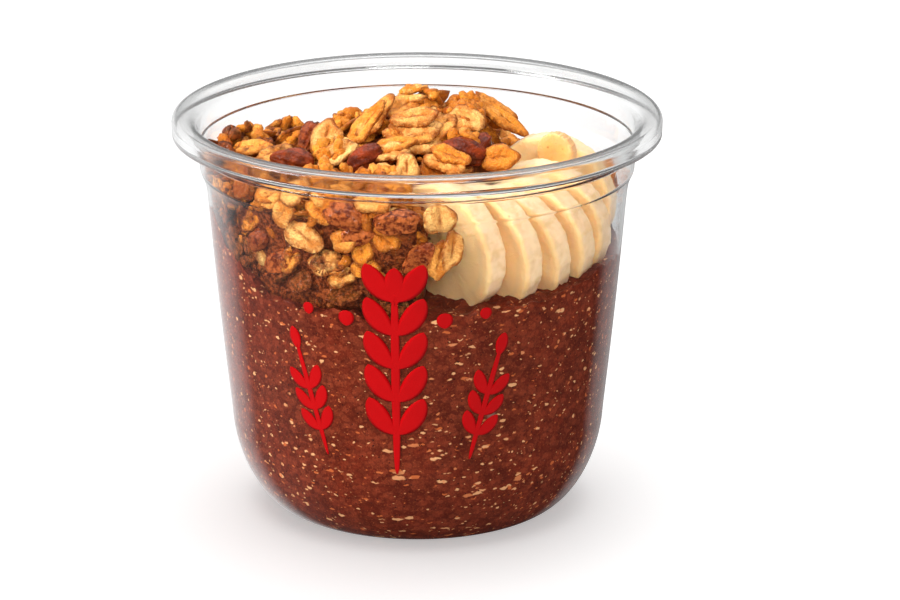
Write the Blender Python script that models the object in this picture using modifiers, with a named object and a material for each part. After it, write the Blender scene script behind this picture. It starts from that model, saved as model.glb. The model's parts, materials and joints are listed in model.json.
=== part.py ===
"""Chocolate overnight oats in a clear round-bottomed cup, with granola and banana slices on top.

Lengths are in metres, +Z is up and the cup stands on z = 0 with its axis on x = y = 0.
Azimuths are in degrees, measured from the front (-Y) towards the right (+X).
"""

import math
import random

import bmesh
import bpy
import numpy as np
from mathutils import Matrix, Vector

MM = 0.001

# Cup
RIM_DIAMETER = 98 * MM
CUP_HEIGHT = 81 * MM
WALL = 0.6 * MM
BASE_FLAT_RADIUS = 26.6 * MM
CORNER_TOP_RADIUS = 37.7 * MM
CORNER_HEIGHT = 19.7 * MM
CORNER_ROUNDNESS = 1.72
BODY_TOP_RADIUS = 42.0 * MM
BODY_TOP_HEIGHT = 64.7 * MM
BODY_BULGE = 0.2 * MM
COLLAR_RADIUS = 43.5 * MM
COLLAR_HEIGHT = 70.0 * MM
NECK_RADIUS = 44.2 * MM
NECK_HEIGHT = 77.6 * MM
BEAD_HEIGHT = 74.7 * MM
BEAD_SIZE = 0.35 * MM
SKIRT_DROP = 3.8 * MM
CREST_INNER_RADIUS = 46.7 * MM
CREST_OUTER_RADIUS = 47.6 * MM
CUP_STEPS = 48

# Contents
GAP = 0.3 * MM
SIDE_COLUMNS = 48
OATS_CENTRE_HEIGHT = 52.5 * MM
OATS_BUMP = 0.7 * MM
HEAP_PLATEAU = 71.6 * MM
HEAP_PEAK = 11 * MM
HEAP_PEAK_X = 2 * MM
HEAP_PEAK_Y = 7 * MM
HEAP_PEAK_SPREAD = 15 * MM
HEAP_BACK_DROP = 6.5 * MM
HEAP_RIGHT_DROP = 7.0 * MM
HEAP_LIFT = 0.4 * MM
CORE_INSET = 1.7 * MM
CORE_RADIUS_BY_BANANA = 13 * MM

# Loose pieces of the heap
SEED = 11
FLAKE_LENGTH = 9.2 * MM
FLAKE_WIDTH = 6.6 * MM
FLAKE_THICKNESS = 1.9 * MM
LUMP_SIZE = 8.0 * MM
RAISIN_LENGTH = 8.6 * MM
PIECE_SIDES = 6
TOP_PIECES = 41
TOP_SPACING = 7.2 * MM
TOP_TILT = 55
WALL_PIECES = 22
WALL_SPACING = 7.4 * MM
WALL_TILT = 35
FLAKE_SHARE = 0.70
LUMP_SHARE = 0.18
BANANA_FROM_AZIMUTH = 2
BANANA_TO_AZIMUTH = 104
ROOM_ABOVE_NECK = 15 * MM

# Banana
BANANA_RADIUS = 13.4 * MM
BANANA_THICKNESS = 5.4 * MM
BANANA_EDGE = 0.7 * MM
BANANA_STEPS = 24
BANANA_OUT_OF_ROUND = 0.02
END_PIECE_RADIUS = 4.1 * MM
END_PIECE_THICKNESS = 3.0 * MM


def clear_scene():
    for found in list(bpy.data.objects):
        bpy.data.objects.remove(found, do_unlink=True)


def material(name, colour, roughness, transmission=0.0):
    made = bpy.data.materials.new(name)
    made.use_nodes = True
    shader = made.node_tree.nodes["Principled BSDF"]
    shader.inputs["Base Color"].default_value = (*colour, 1.0)
    shader.inputs["Roughness"].default_value = roughness
    shader.inputs["Transmission Weight"].default_value = transmission
    return made


def new_object(name, mesh, look=None):
    made = bpy.data.objects.new(name, mesh)
    bpy.context.scene.collection.objects.link(made)
    if look is not None:
        mesh.materials.append(look)
    return made


def mesh_from(name, points, faces):
    mesh = bpy.data.meshes.new(name)
    mesh.from_pydata([tuple(p) for p in points], [], [tuple(f) for f in faces])
    mesh.update()
    return mesh


def outer_line():
    """The outside of the cup from the middle of its base up to its neck, as (radius, height)."""
    points = [(0.0, 0.0), (BASE_FLAT_RADIUS, 0.0)]
    corner_width = CORNER_TOP_RADIUS - BASE_FLAT_RADIUS
    for turn in np.radians([22, 40, 56, 73]):
        across = math.sin(turn) ** (2 / CORNER_ROUNDNESS)
        down = math.cos(turn) ** (2 / CORNER_ROUNDNESS)
        points.append((BASE_FLAT_RADIUS + corner_width * across, CORNER_HEIGHT * (1 - down)))
    for share in (0.0, 0.25, 0.5, 0.75, 1.0):
        radius = CORNER_TOP_RADIUS + (BODY_TOP_RADIUS - CORNER_TOP_RADIUS) * share
        height = CORNER_HEIGHT + (BODY_TOP_HEIGHT - CORNER_HEIGHT) * share
        points.append((radius + 4 * BODY_BULGE * share * (1 - share), height))
    step_height = COLLAR_HEIGHT - BODY_TOP_HEIGHT
    points.append((BODY_TOP_RADIUS + 0.4 * MM, BODY_TOP_HEIGHT + 0.45 * step_height))
    points.append((COLLAR_RADIUS - 0.2 * MM, COLLAR_HEIGHT - 0.15 * step_height))
    points.append((COLLAR_RADIUS, COLLAR_HEIGHT))
    share = (BEAD_HEIGHT - COLLAR_HEIGHT) / (NECK_HEIGHT - COLLAR_HEIGHT)
    bead_radius = COLLAR_RADIUS + (NECK_RADIUS - COLLAR_RADIUS) * share
    for offset, out in ((-1, 0), (0, 1), (1, 0)):
        points.append((bead_radius + out * BEAD_SIZE, BEAD_HEIGHT + offset * 0.6 * MM))
    points.append((NECK_RADIUS, NECK_HEIGHT))
    return np.array(points)


def moved_in(line, distance):
    """The line moved towards the inside of the cup by a distance, measured square to it."""
    along = np.diff(line, axis=0)
    along /= np.linalg.norm(along, axis=1)[:, None]
    side = np.stack([-along[:, 1], along[:, 0]], axis=1)
    before = np.vstack([side[:1], side])
    after = np.vstack([side, side[-1:]])
    middle = before + after
    middle /= (middle * before).sum(axis=1)[:, None]
    moved = line + distance * middle
    moved[0, 0] = 0.0
    return moved


def flange_line():
    """The upper face of the flange, out from the neck, over the crest and down the skirt."""
    rim_radius = RIM_DIAMETER / 2
    inner_radius = NECK_RADIUS - WALL
    inner_width = CREST_INNER_RADIUS - inner_radius
    inner_height = CUP_HEIGHT - NECK_HEIGHT
    points = []
    for turn in np.radians([28, 54, 90]):
        radius = CREST_INNER_RADIUS - inner_width * math.cos(turn)
        points.append((radius, NECK_HEIGHT + inner_height * math.sin(turn)))
    outer_width = rim_radius - CREST_OUTER_RADIUS
    for turn in np.radians([90, 45, 0]):
        radius = CREST_OUTER_RADIUS + outer_width * math.cos(turn)
        points.append((radius, CUP_HEIGHT - outer_width * (1 - math.sin(turn))))
    points.append((rim_radius - 0.1 * MM, CUP_HEIGHT - SKIRT_DROP))
    return np.array(points)


INNER_LINE = moved_in(outer_line(), WALL)
FILL_LINE = moved_in(outer_line(), WALL + GAP)


def fill_radius(height):
    """How far out the contents may reach at a height."""
    side = FILL_LINE[1:]
    return np.interp(height, side[:, 1], side[:, 0])


def make_cup(look):
    line = np.vstack([INNER_LINE, flange_line()])
    mesh = bpy.data.meshes.new("cup")
    points = [(radius, 0.0, height) for radius, height in line]
    mesh.from_pydata(points, [(i, i + 1) for i in range(len(points) - 1)], [])
    cup = new_object("cup", mesh, look)
    screw = cup.modifiers.new("turned", "SCREW")
    screw.steps = screw.render_steps = CUP_STEPS
    screw.use_merge_vertices = True
    screw.merge_threshold = 0.00001
    thickness = cup.modifiers.new("wall", "SOLIDIFY")
    thickness.thickness = WALL
    thickness.offset = -1
    thickness.use_even_offset = True
    return cup


def column_azimuths():
    return np.arange(SIDE_COLUMNS) * 360 / SIDE_COLUMNS - 180


def at_azimuth(azimuth, radius):
    """The x and y of a point at an azimuth and radius."""
    turn = np.radians(azimuth)
    return radius * np.sin(turn), -radius * np.cos(turn)


def oats_wall_height(azimuth):
    """How high the oats stand against the wall: high at the left, low at the front."""
    turns = [-180, -120, -76, -60, -46, -30, 12, 39, 63, 78, 120, 180]
    heights = [57, 62, 63.5, 56.5, 51.2, 50.6, 50.4, 51.4, 54.5, 53.2, 55, 57]
    return np.interp(azimuth, turns, heights) * MM


def oats_height(azimuth, share):
    """The top of the oats at an azimuth, at a share of the way from the axis to the wall."""
    x, y = at_azimuth(azimuth, share)
    bump = OATS_BUMP * (np.sin(7 * x + 2 * y + 1) + np.sin(9 * y - 4 * x)) * (1 - share)
    blend = share**1.5
    return OATS_CENTRE_HEIGHT + (oats_wall_height(azimuth) - OATS_CENTRE_HEIGHT) * blend + bump


def heap_height(x, y):
    """The top of the granola: a plateau with a mound, lower to the back and behind the banana."""
    away = ((x - HEAP_PEAK_X) ** 2 + (y - HEAP_PEAK_Y) ** 2) / HEAP_PEAK_SPREAD**2
    back = HEAP_BACK_DROP * np.clip((y - 12 * MM) / (28 * MM), 0, 1)
    right = HEAP_RIGHT_DROP * np.clip((x - 12 * MM) / (14 * MM), 0, 1) * np.clip((y + 6 * MM) / (10 * MM), 0, 1)
    return HEAP_PLATEAU + HEAP_PEAK * np.exp(-away) - back - right


def ring_loft(name, rings, first, last):
    """A closed skin over rings of points, with a point at each end."""
    count = len(rings[0])
    points = [first] + [tuple(p) for ring in rings for p in ring] + [last]
    faces = []
    for column in range(count):
        following = (column + 1) % count
        faces.append((0, 1 + following, 1 + column))
        for ring in range(len(rings) - 1):
            low, high = 1 + ring * count, 1 + (ring + 1) * count
            faces.append((low + column, low + following, high + following))
            faces.append((low + column, high + following, high + column))
        top = 1 + (len(rings) - 1) * count
        faces.append((top + column, top + following, len(points) - 1))
    return mesh_from(name, points, faces)


def ring_at(azimuth, radius, height):
    x, y = at_azimuth(azimuth, radius)
    return np.stack([x, y, np.broadcast_to(height, x.shape)], axis=1)


def make_oats(look):
    azimuth = column_azimuths()
    floor = FILL_LINE[0, 1]
    rings = []
    for radius, height in FILL_LINE[1:7]:
        rings.append(ring_at(azimuth, np.full(azimuth.shape, radius), height))
    wall_height = oats_wall_height(azimuth)
    for share in (0.35, 0.7, 1.0):
        height = FILL_LINE[6, 1] + (wall_height - FILL_LINE[6, 1]) * share
        rings.append(ring_at(azimuth, fill_radius(height), height))
    for share in (0.82, 0.62, 0.42, 0.2):
        height = oats_height(azimuth, share)
        rings.append(ring_at(azimuth, share * fill_radius(wall_height), height))
    centre = (0.0, 0.0, OATS_CENTRE_HEIGHT)
    return new_object("oats", ring_loft("oats", rings, (0.0, 0.0, floor), centre), look)


def core_reach(azimuth):
    """How far out the granola's core goes, as a share of the way to the wall: less by the banana."""
    beside = np.interp(azimuth, [-180, 0, 9, 96, 106, 180], [0, 0, 1, 1, 0, 0])
    wall = fill_radius(70 * MM)
    return 1 - beside * (1 - CORE_RADIUS_BY_BANANA / wall)


def make_core():
    """The inside of the granola heap, which rests on the oats."""
    azimuth = column_azimuths()
    reach = core_reach(azimuth)
    wall_height = oats_wall_height(azimuth)
    wall = fill_radius(wall_height)
    rings = []
    for share in (0.2, 0.42, 0.62, 0.82, 1.0):
        out = share * reach
        rings.append(ring_at(azimuth, out * wall - share * GAP, oats_height(azimuth, out) + HEAP_LIFT))
    x, y = at_azimuth(azimuth, reach * (fill_radius(HEAP_PLATEAU) - CORE_INSET))
    edge_height = np.maximum(heap_height(x, y) - CORE_INSET, oats_height(azimuth, reach) + 4 * MM)
    foot = oats_height(azimuth, reach) + HEAP_LIFT
    for share in (0.45, 1.0):
        height = foot + (edge_height - foot) * share
        rings.append(ring_at(azimuth, reach * (fill_radius(height) - CORE_INSET), height))
    for share in (0.75, 0.5, 0.25):
        out = share * reach * fill_radius(HEAP_PLATEAU)
        x, y = at_azimuth(azimuth, out)
        rings.append(np.stack([x, y, heap_height(x, y)], axis=1))
    base = (0.0, 0.0, OATS_CENTRE_HEIGHT + HEAP_LIFT)
    top = (0.0, 0.0, float(heap_height(0.0, 0.0)))
    return new_object("granola", ring_loft("granola", rings, base, top))


def piece_mesh(name, size, sides, dome, rough, rng):
    """A rounded piece: two rings of corners with a point above and one below."""
    length, width, thickness = size
    points = [(0, 0, -thickness / 2)]
    for level in (-1, 1):
        for side in range(sides):
            turn = 2 * math.pi * (side + 0.25 * level) / sides
            out = 1 + rough * rng.uniform(-1, 1)
            flat = thickness / 2 * (1 - dome) * level
            points.append((length / 2 * out * math.cos(turn), width / 2 * out * math.sin(turn), flat))
    points.append((0, 0, thickness / 2))
    faces = []
    for side in range(sides):
        following = (side + 1) % sides
        low, low_next = 1 + side, 1 + following
        high, high_next = 1 + sides + side, 1 + sides + following
        faces.append((0, low_next, low))
        faces.append((low, low_next, high_next))
        faces.append((low, high_next, high))
        faces.append((high, high_next, 2 * sides + 1))
    return mesh_from(name, points, faces)


def random_piece(name, rng):
    """A flake most often, or else a lump of small bits or a raisin."""
    kind = rng.random()
    grow = rng.uniform(0.8, 1.15)
    if kind < FLAKE_SHARE:
        size = (FLAKE_LENGTH * grow, FLAKE_WIDTH * grow, FLAKE_THICKNESS)
        return piece_mesh(name, size, PIECE_SIDES, 0.35, 0.08, rng)
    if kind < FLAKE_SHARE + LUMP_SHARE:
        size = (LUMP_SIZE * grow, LUMP_SIZE * grow * 0.85, LUMP_SIZE * grow * 0.65)
        return piece_mesh(name, size, PIECE_SIDES, 0.5, 0.18, rng)
    size = (RAISIN_LENGTH * grow, RAISIN_LENGTH * 0.7, RAISIN_LENGTH * 0.55)
    return piece_mesh(name, size, PIECE_SIDES, 0.5, 0.1, rng)


def facing(normal, spin, tilt, rng):
    """A turn that lays a piece on a surface with this normal, spun and then tilted at random."""
    lay = Vector(normal).to_track_quat("Z", "Y").to_matrix().to_4x4()
    lean = Matrix.Rotation(math.radians(tilt) * rng.uniform(-1, 1), 4, "X")
    return lay @ Matrix.Rotation(spin, 4, "Z") @ lean


def spread_points(count, spacing, draw, rng):
    """Up to count points from draw that keep a spacing from each other."""
    chosen = []
    for _ in range(count * 60):
        point = draw(rng)
        if all((point - other).length > spacing for other in chosen):
            chosen.append(point)
        if len(chosen) == count:
            break
    return chosen


def by_banana(azimuth):
    return BANANA_FROM_AZIMUTH < azimuth < BANANA_TO_AZIMUTH


def draw_on_top(rng):
    while True:
        radius = fill_radius(HEAP_PLATEAU) * math.sqrt(rng.random()) - 2 * MM
        azimuth = rng.uniform(-180, 180)
        if radius > 0 and not (by_banana(azimuth) and radius > CORE_RADIUS_BY_BANANA):
            x, y = at_azimuth(azimuth, radius)
            return Vector((x, y, float(heap_height(x, y))))


def draw_by_wall(rng):
    while True:
        azimuth = rng.uniform(-180, 180)
        if by_banana(azimuth + 6):
            continue
        low = float(oats_wall_height(azimuth)) + 3 * MM
        height = rng.uniform(low, HEAP_PLATEAU - 1 * MM)
        x, y = at_azimuth(azimuth, float(fill_radius(height)) - CORE_INSET)
        return Vector((x, y, height))


def slope_normal(point):
    """The upward normal of the heap's top at a point."""
    step = 1 * MM
    rise_x = heap_height(point.x + step, point.y) - heap_height(point.x - step, point.y)
    rise_y = heap_height(point.x, point.y + step) - heap_height(point.x, point.y - step)
    return Vector((-rise_x, -rise_y, 2 * step)).normalized()


def make_pieces(collection):
    rng = random.Random(SEED)
    top = spread_points(TOP_PIECES, TOP_SPACING, draw_on_top, rng)
    side = spread_points(WALL_PIECES, WALL_SPACING, draw_by_wall, rng)
    for index, point in enumerate(top + side):
        if index < len(top):
            normal, tilt = slope_normal(point), TOP_TILT
        else:
            normal, tilt = Vector((point.x, point.y, 0)).normalized(), WALL_TILT
        mesh = random_piece(f"piece_{index}", rng)
        turn = facing(normal, rng.uniform(0, 2 * math.pi), tilt, rng)
        mesh.transform(Matrix.Translation(point) @ turn)
        piece = bpy.data.objects.new(mesh.name, mesh)
        collection.objects.link(piece)


def boolean(target, operation, other):
    """Joins to, cuts from or keeps within another object or collection, and applies the result."""
    modifier = target.modifiers.new(operation.lower(), "BOOLEAN")
    modifier.operation = operation
    modifier.solver = "MANIFOLD"
    if isinstance(other, bpy.types.Collection):
        modifier.operand_type = "COLLECTION"
        modifier.collection = other
    else:
        modifier.object = other
    graph = bpy.context.evaluated_depsgraph_get()
    result = bpy.data.meshes.new_from_object(target.evaluated_get(graph))
    target.modifiers.clear()
    target.data = result


def remove_object(found):
    bpy.data.objects.remove(found, do_unlink=True)


def keep_largest_body(target):
    """Drops loose scraps and sealed hollows, which leaves one closed body."""
    shape = bmesh.new()
    shape.from_mesh(target.data)
    left = set(shape.verts)
    bodies = []
    while left:
        stack = [left.pop()]
        body = set(stack)
        while stack:
            for edge in stack.pop().link_edges:
                for vertex in edge.verts:
                    if vertex in left:
                        left.discard(vertex)
                        body.add(vertex)
                        stack.append(vertex)
        bodies.append(body)
    largest = max(bodies, key=len)
    bmesh.ops.delete(shape, geom=[v for v in shape.verts if v not in largest], context="VERTS")
    shape.to_mesh(target.data)
    shape.free()


def make_room_above_oats():
    """All the room inside the cup between the top of the oats and a level above the heap."""
    azimuth = column_azimuths()
    wall_height = oats_wall_height(azimuth)
    wall = fill_radius(wall_height)
    rings = []
    for share in (0.2, 0.42, 0.62, 0.82, 1.0):
        rings.append(ring_at(azimuth, share * wall, oats_height(azimuth, share) + HEAP_LIFT))
    for radius, height in FILL_LINE[FILL_LINE[:, 1] > BODY_TOP_HEIGHT - 0.5 * MM]:
        rings.append(ring_at(azimuth, np.full(azimuth.shape, radius), height))
    rings.append(rings[-1] + np.array([0, 0, ROOM_ABOVE_NECK]))
    base = (0.0, 0.0, OATS_CENTRE_HEIGHT + HEAP_LIFT)
    top = (0.0, 0.0, float(rings[-1][0, 2]))
    return new_object("room", ring_loft("room", rings, base, top))


class Slice:
    """Where a banana slice stands: its centre, and the direction that its left face looks."""

    def __init__(self, azimuth, turn, lean, radius, height, size=BANANA_RADIUS, thickness=BANANA_THICKNESS):
        x, y = at_azimuth(azimuth, radius * MM)
        self.centre = Vector((x, y, height * MM))
        turn, lean = math.radians(turn), math.radians(lean)
        left = Vector((-math.cos(turn), -math.sin(turn), 0))
        self.outward = Vector((math.sin(turn), -math.cos(turn), 0))
        self.normal = left * math.cos(lean) + Vector((0, 0, math.sin(lean)))
        self.upward = self.normal.cross(self.outward)
        self.size = size
        self.thickness = thickness

    def matrix(self):
        axes = Matrix((self.outward, self.upward, self.normal)).transposed().to_4x4()
        axes.translation = self.centre
        return axes


def slices():
    """The row along the right of the wall, front to back, then a small end piece in its gap."""
    row = [
        Slice(12.9, 47.6, -7.7, 27.4, 61.3),
        Slice(28.7, 51.2, -9.0, 26.9, 59.7),
        Slice(44.3, 55.1, -10.6, 26.0, 58.2),
        Slice(58.7, 57.6, -8.4, 26.5, 58.8),
        Slice(74.1, 61.9, -4.3, 26.7, 59.7),
        Slice(96.7, 69.2, 0.1, 27.2, 62.1),
    ]
    end = Slice(84.6, 66.0, -1.0, 28.0, 73.4, END_PIECE_RADIUS, END_PIECE_THICKNESS)
    return row, end


def slice_mesh(name, radius, thickness, phase):
    """A coin that is slightly out of round."""
    rings = []
    for height in (-thickness / 2, thickness / 2):
        turn = 2 * math.pi * np.arange(BANANA_STEPS) / BANANA_STEPS
        out = radius * (1 - BANANA_OUT_OF_ROUND * (0.5 + 0.5 * np.sin(3 * turn + phase)))
        x, y = out * np.cos(turn), out * np.sin(turn)
        rings.append(np.stack([x, y, np.full(turn.shape, height)], axis=1))
    low, high = (0, 0, -thickness / 2), (0, 0, thickness / 2)
    return ring_loft(name, rings, low, high)


def make_slice(name, place, phase, look):
    coin = new_object(name, slice_mesh(name, place.size, place.thickness, phase), look)
    coin.matrix_world = place.matrix()
    edge = coin.modifiers.new("edge", "BEVEL")
    edge.width = BANANA_EDGE
    edge.segments = 1
    edge.limit_method = "ANGLE"
    edge.angle_limit = math.radians(50)
    return coin


def make_cutter(name, place, phase):
    """The same coin with a gap all round."""
    mesh = slice_mesh(name, place.size + GAP, place.thickness + 2 * GAP, phase)
    cutter = new_object(name, mesh)
    cutter.matrix_world = place.matrix()
    cutter.hide_render = True
    cutter.display_type = "WIRE"
    return cutter


def main():
    clear_scene()
    clear_plastic = material("clear_plastic", (0.93, 0.95, 0.96), 0.05, 1.0)
    chocolate = material("chocolate_oats", (0.11, 0.035, 0.02), 0.35)
    toasted = material("toasted_granola", (0.55, 0.27, 0.09), 0.6)
    flesh = material("banana_flesh", (0.87, 0.76, 0.5), 0.5)

    make_cup(clear_plastic)
    oats = make_oats(chocolate)
    granola = make_core()

    pieces = bpy.data.collections.new("pieces")
    bpy.context.scene.collection.children.link(pieces)
    make_pieces(pieces)
    bpy.context.view_layer.update()
    boolean(granola, "UNION", pieces)
    for piece in list(pieces.objects):
        remove_object(piece)
    bpy.data.collections.remove(pieces)

    room = make_room_above_oats()
    boolean(granola, "INTERSECT", room)
    remove_object(room)

    row, end = slices()
    placed = [(f"banana_slice_{number}", place) for number, place in enumerate(row, 1)]
    placed.append(("banana_end", end))
    for phase, (name, place) in enumerate(placed):
        make_slice(name, place, phase, flesh)
        cutter = make_cutter(f"{name}_room", place, phase)
        bpy.context.view_layer.update()
        boolean(granola, "DIFFERENCE", cutter)
        boolean(oats, "DIFFERENCE", cutter)
        remove_object(cutter)

    for filled, look in ((oats, chocolate), (granola, toasted)):
        keep_largest_body(filled)
        filled.data.materials.clear()
        filled.data.materials.append(look)


main()
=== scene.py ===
"""Chocolate overnight oats in a clear round-bottomed cup, with granola and banana slices on top.

Shapes are worked out in millimetres and put into meshes in metres. +Z is up, the cup stands on z = 0
and its axis is x = y = 0. Azimuths are in degrees from the front (-Y) towards the right (+X).
"""

import json
import math

import bpy
import numpy as np
from bpy.props import FloatProperty, FloatVectorProperty, IntProperty, PointerProperty
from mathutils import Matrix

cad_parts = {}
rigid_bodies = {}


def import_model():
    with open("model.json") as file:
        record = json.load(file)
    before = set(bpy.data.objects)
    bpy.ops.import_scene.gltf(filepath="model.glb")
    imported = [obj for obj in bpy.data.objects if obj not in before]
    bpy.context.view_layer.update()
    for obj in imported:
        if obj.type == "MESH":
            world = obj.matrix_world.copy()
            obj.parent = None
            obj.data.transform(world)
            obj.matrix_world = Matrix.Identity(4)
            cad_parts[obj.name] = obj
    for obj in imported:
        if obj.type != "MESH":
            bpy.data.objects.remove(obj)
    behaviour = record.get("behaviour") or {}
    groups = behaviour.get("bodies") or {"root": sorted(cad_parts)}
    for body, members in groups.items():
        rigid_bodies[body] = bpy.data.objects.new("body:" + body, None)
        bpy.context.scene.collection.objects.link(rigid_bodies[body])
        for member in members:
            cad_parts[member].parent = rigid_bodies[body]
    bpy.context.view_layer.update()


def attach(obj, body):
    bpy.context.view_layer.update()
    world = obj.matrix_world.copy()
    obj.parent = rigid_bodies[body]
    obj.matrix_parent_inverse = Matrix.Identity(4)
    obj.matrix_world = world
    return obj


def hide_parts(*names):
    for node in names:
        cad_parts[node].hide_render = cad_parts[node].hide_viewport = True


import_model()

bl_info = {
    "name": "Chocolate overnight oats",
    "version": (1, 0, 0),
    "blender": (4, 5, 0),
    "location": "3D View > Sidebar > Overnight oats",
    "description": "A clear cup of chocolate oats with granola and banana slices",
    "category": "Object",
}

MM = 0.001

# Cup
RIM_RADIUS = 49.0
CUP_HEIGHT = 81.0
BASE_FLAT_RADIUS = 26.6
CORNER_TOP_RADIUS = 37.7
CORNER_HEIGHT = 19.7
CORNER_ROUNDNESS = 1.72
BODY_TOP_RADIUS = 42.0
BODY_TOP_HEIGHT = 64.7
BODY_BULGE = 0.2
COLLAR_RADIUS = 43.5
COLLAR_HEIGHT = 70.0
NECK_RADIUS = 44.2
NECK_HEIGHT = 77.6
BEAD_HEIGHT = 74.7
BEAD_SIZE = 0.3
# The bead's half outline: height from its middle in mm, and how far out as a share of its size
BEAD_OUTLINE = ((-0.5, 0), (-0.4, 0.1), (-0.1, 1), (0.1, 1), (0.4, 0.1), (0.5, 0))
SKIRT_DROP = 3.8
CREST_INNER_RADIUS = 46.7
CREST_OUTER_RADIUS = 47.6
CUP_COLUMNS = 160
INSIDE = 0.6  # how deep the wall's inside lies under its outside

# Contents
OATS_COLUMNS = 200
OATS_SIDE_ROWS = 70
OATS_TOP_ROWS = 26
OATS_CENTRE_HEIGHT = 52.5
OATS_BUMP = 0.7
OATS_INTO_WALL = 0.45
HEAP_FOOT_SINKS = 0.6
HEAP_RADIUS = 41
# The strip of wall that the heap lies against, unrolled
STRIP_RADIUS = 41.5
STRIP_FOOT = 49
STRIP_HEIGHT = 24
# Loose pieces: flakes and bits to a cluster, and how far apart the clusters of bits and the bits are
FLAKES_TOGETHER = 4
BITS_TOGETHER = 30
BIT_CLUSTERS_APART = 10.5
BITS_APART = 3.1
HEAP_PLATEAU = 71.6
HEAP_PEAK = 10.0
HEAP_PEAK_AT = (2.0, 7.0)
HEAP_PEAK_SPREAD = 15.0
HEAP_BACK_DROP = 6.5
HEAP_RIGHT_DROP = 7.0
CORE_RADIUS_BY_BANANA = 13.0
CORE_INSET = 2.6
CORE_COLUMNS = 120
CORE_FOOT_ROWS = 4
CORE_SIDE_ROWS = 8
WALL_CLEARANCE = 0.08
CONTENTS_TOP = 84.3
CONTENTS_TOP_SOFTENS = 81.8

# Banana slices, as azimuth, turn and lean in degrees, then radius and height in mm
BANANA_PLACES = {
    "banana_slice_1": (12.9, 47.6, -7.7, 27.4, 61.3),
    "banana_slice_2": (28.7, 51.2, -9.0, 26.9, 59.7),
    "banana_slice_3": (44.3, 55.1, -10.6, 26.0, 58.2),
    "banana_slice_4": (58.7, 57.6, -8.4, 26.5, 58.8),
    "banana_slice_5": (74.1, 61.9, -4.3, 26.7, 59.7),
    "banana_slice_6": (96.7, 69.2, 0.1, 27.2, 62.1),
    "banana_end": (84.6, 66.0, -1.0, 28.0, 73.4),
}
BANANA_OUT_OF_ROUND = 0.02
END_PIECE_RADIUS = 4.1
END_PIECE_THICKNESS = 3.0
END_PIECE_CORE = 0.55  # the share of a slice's markings that the end piece shows
SLICE_COLUMNS = 120

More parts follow.
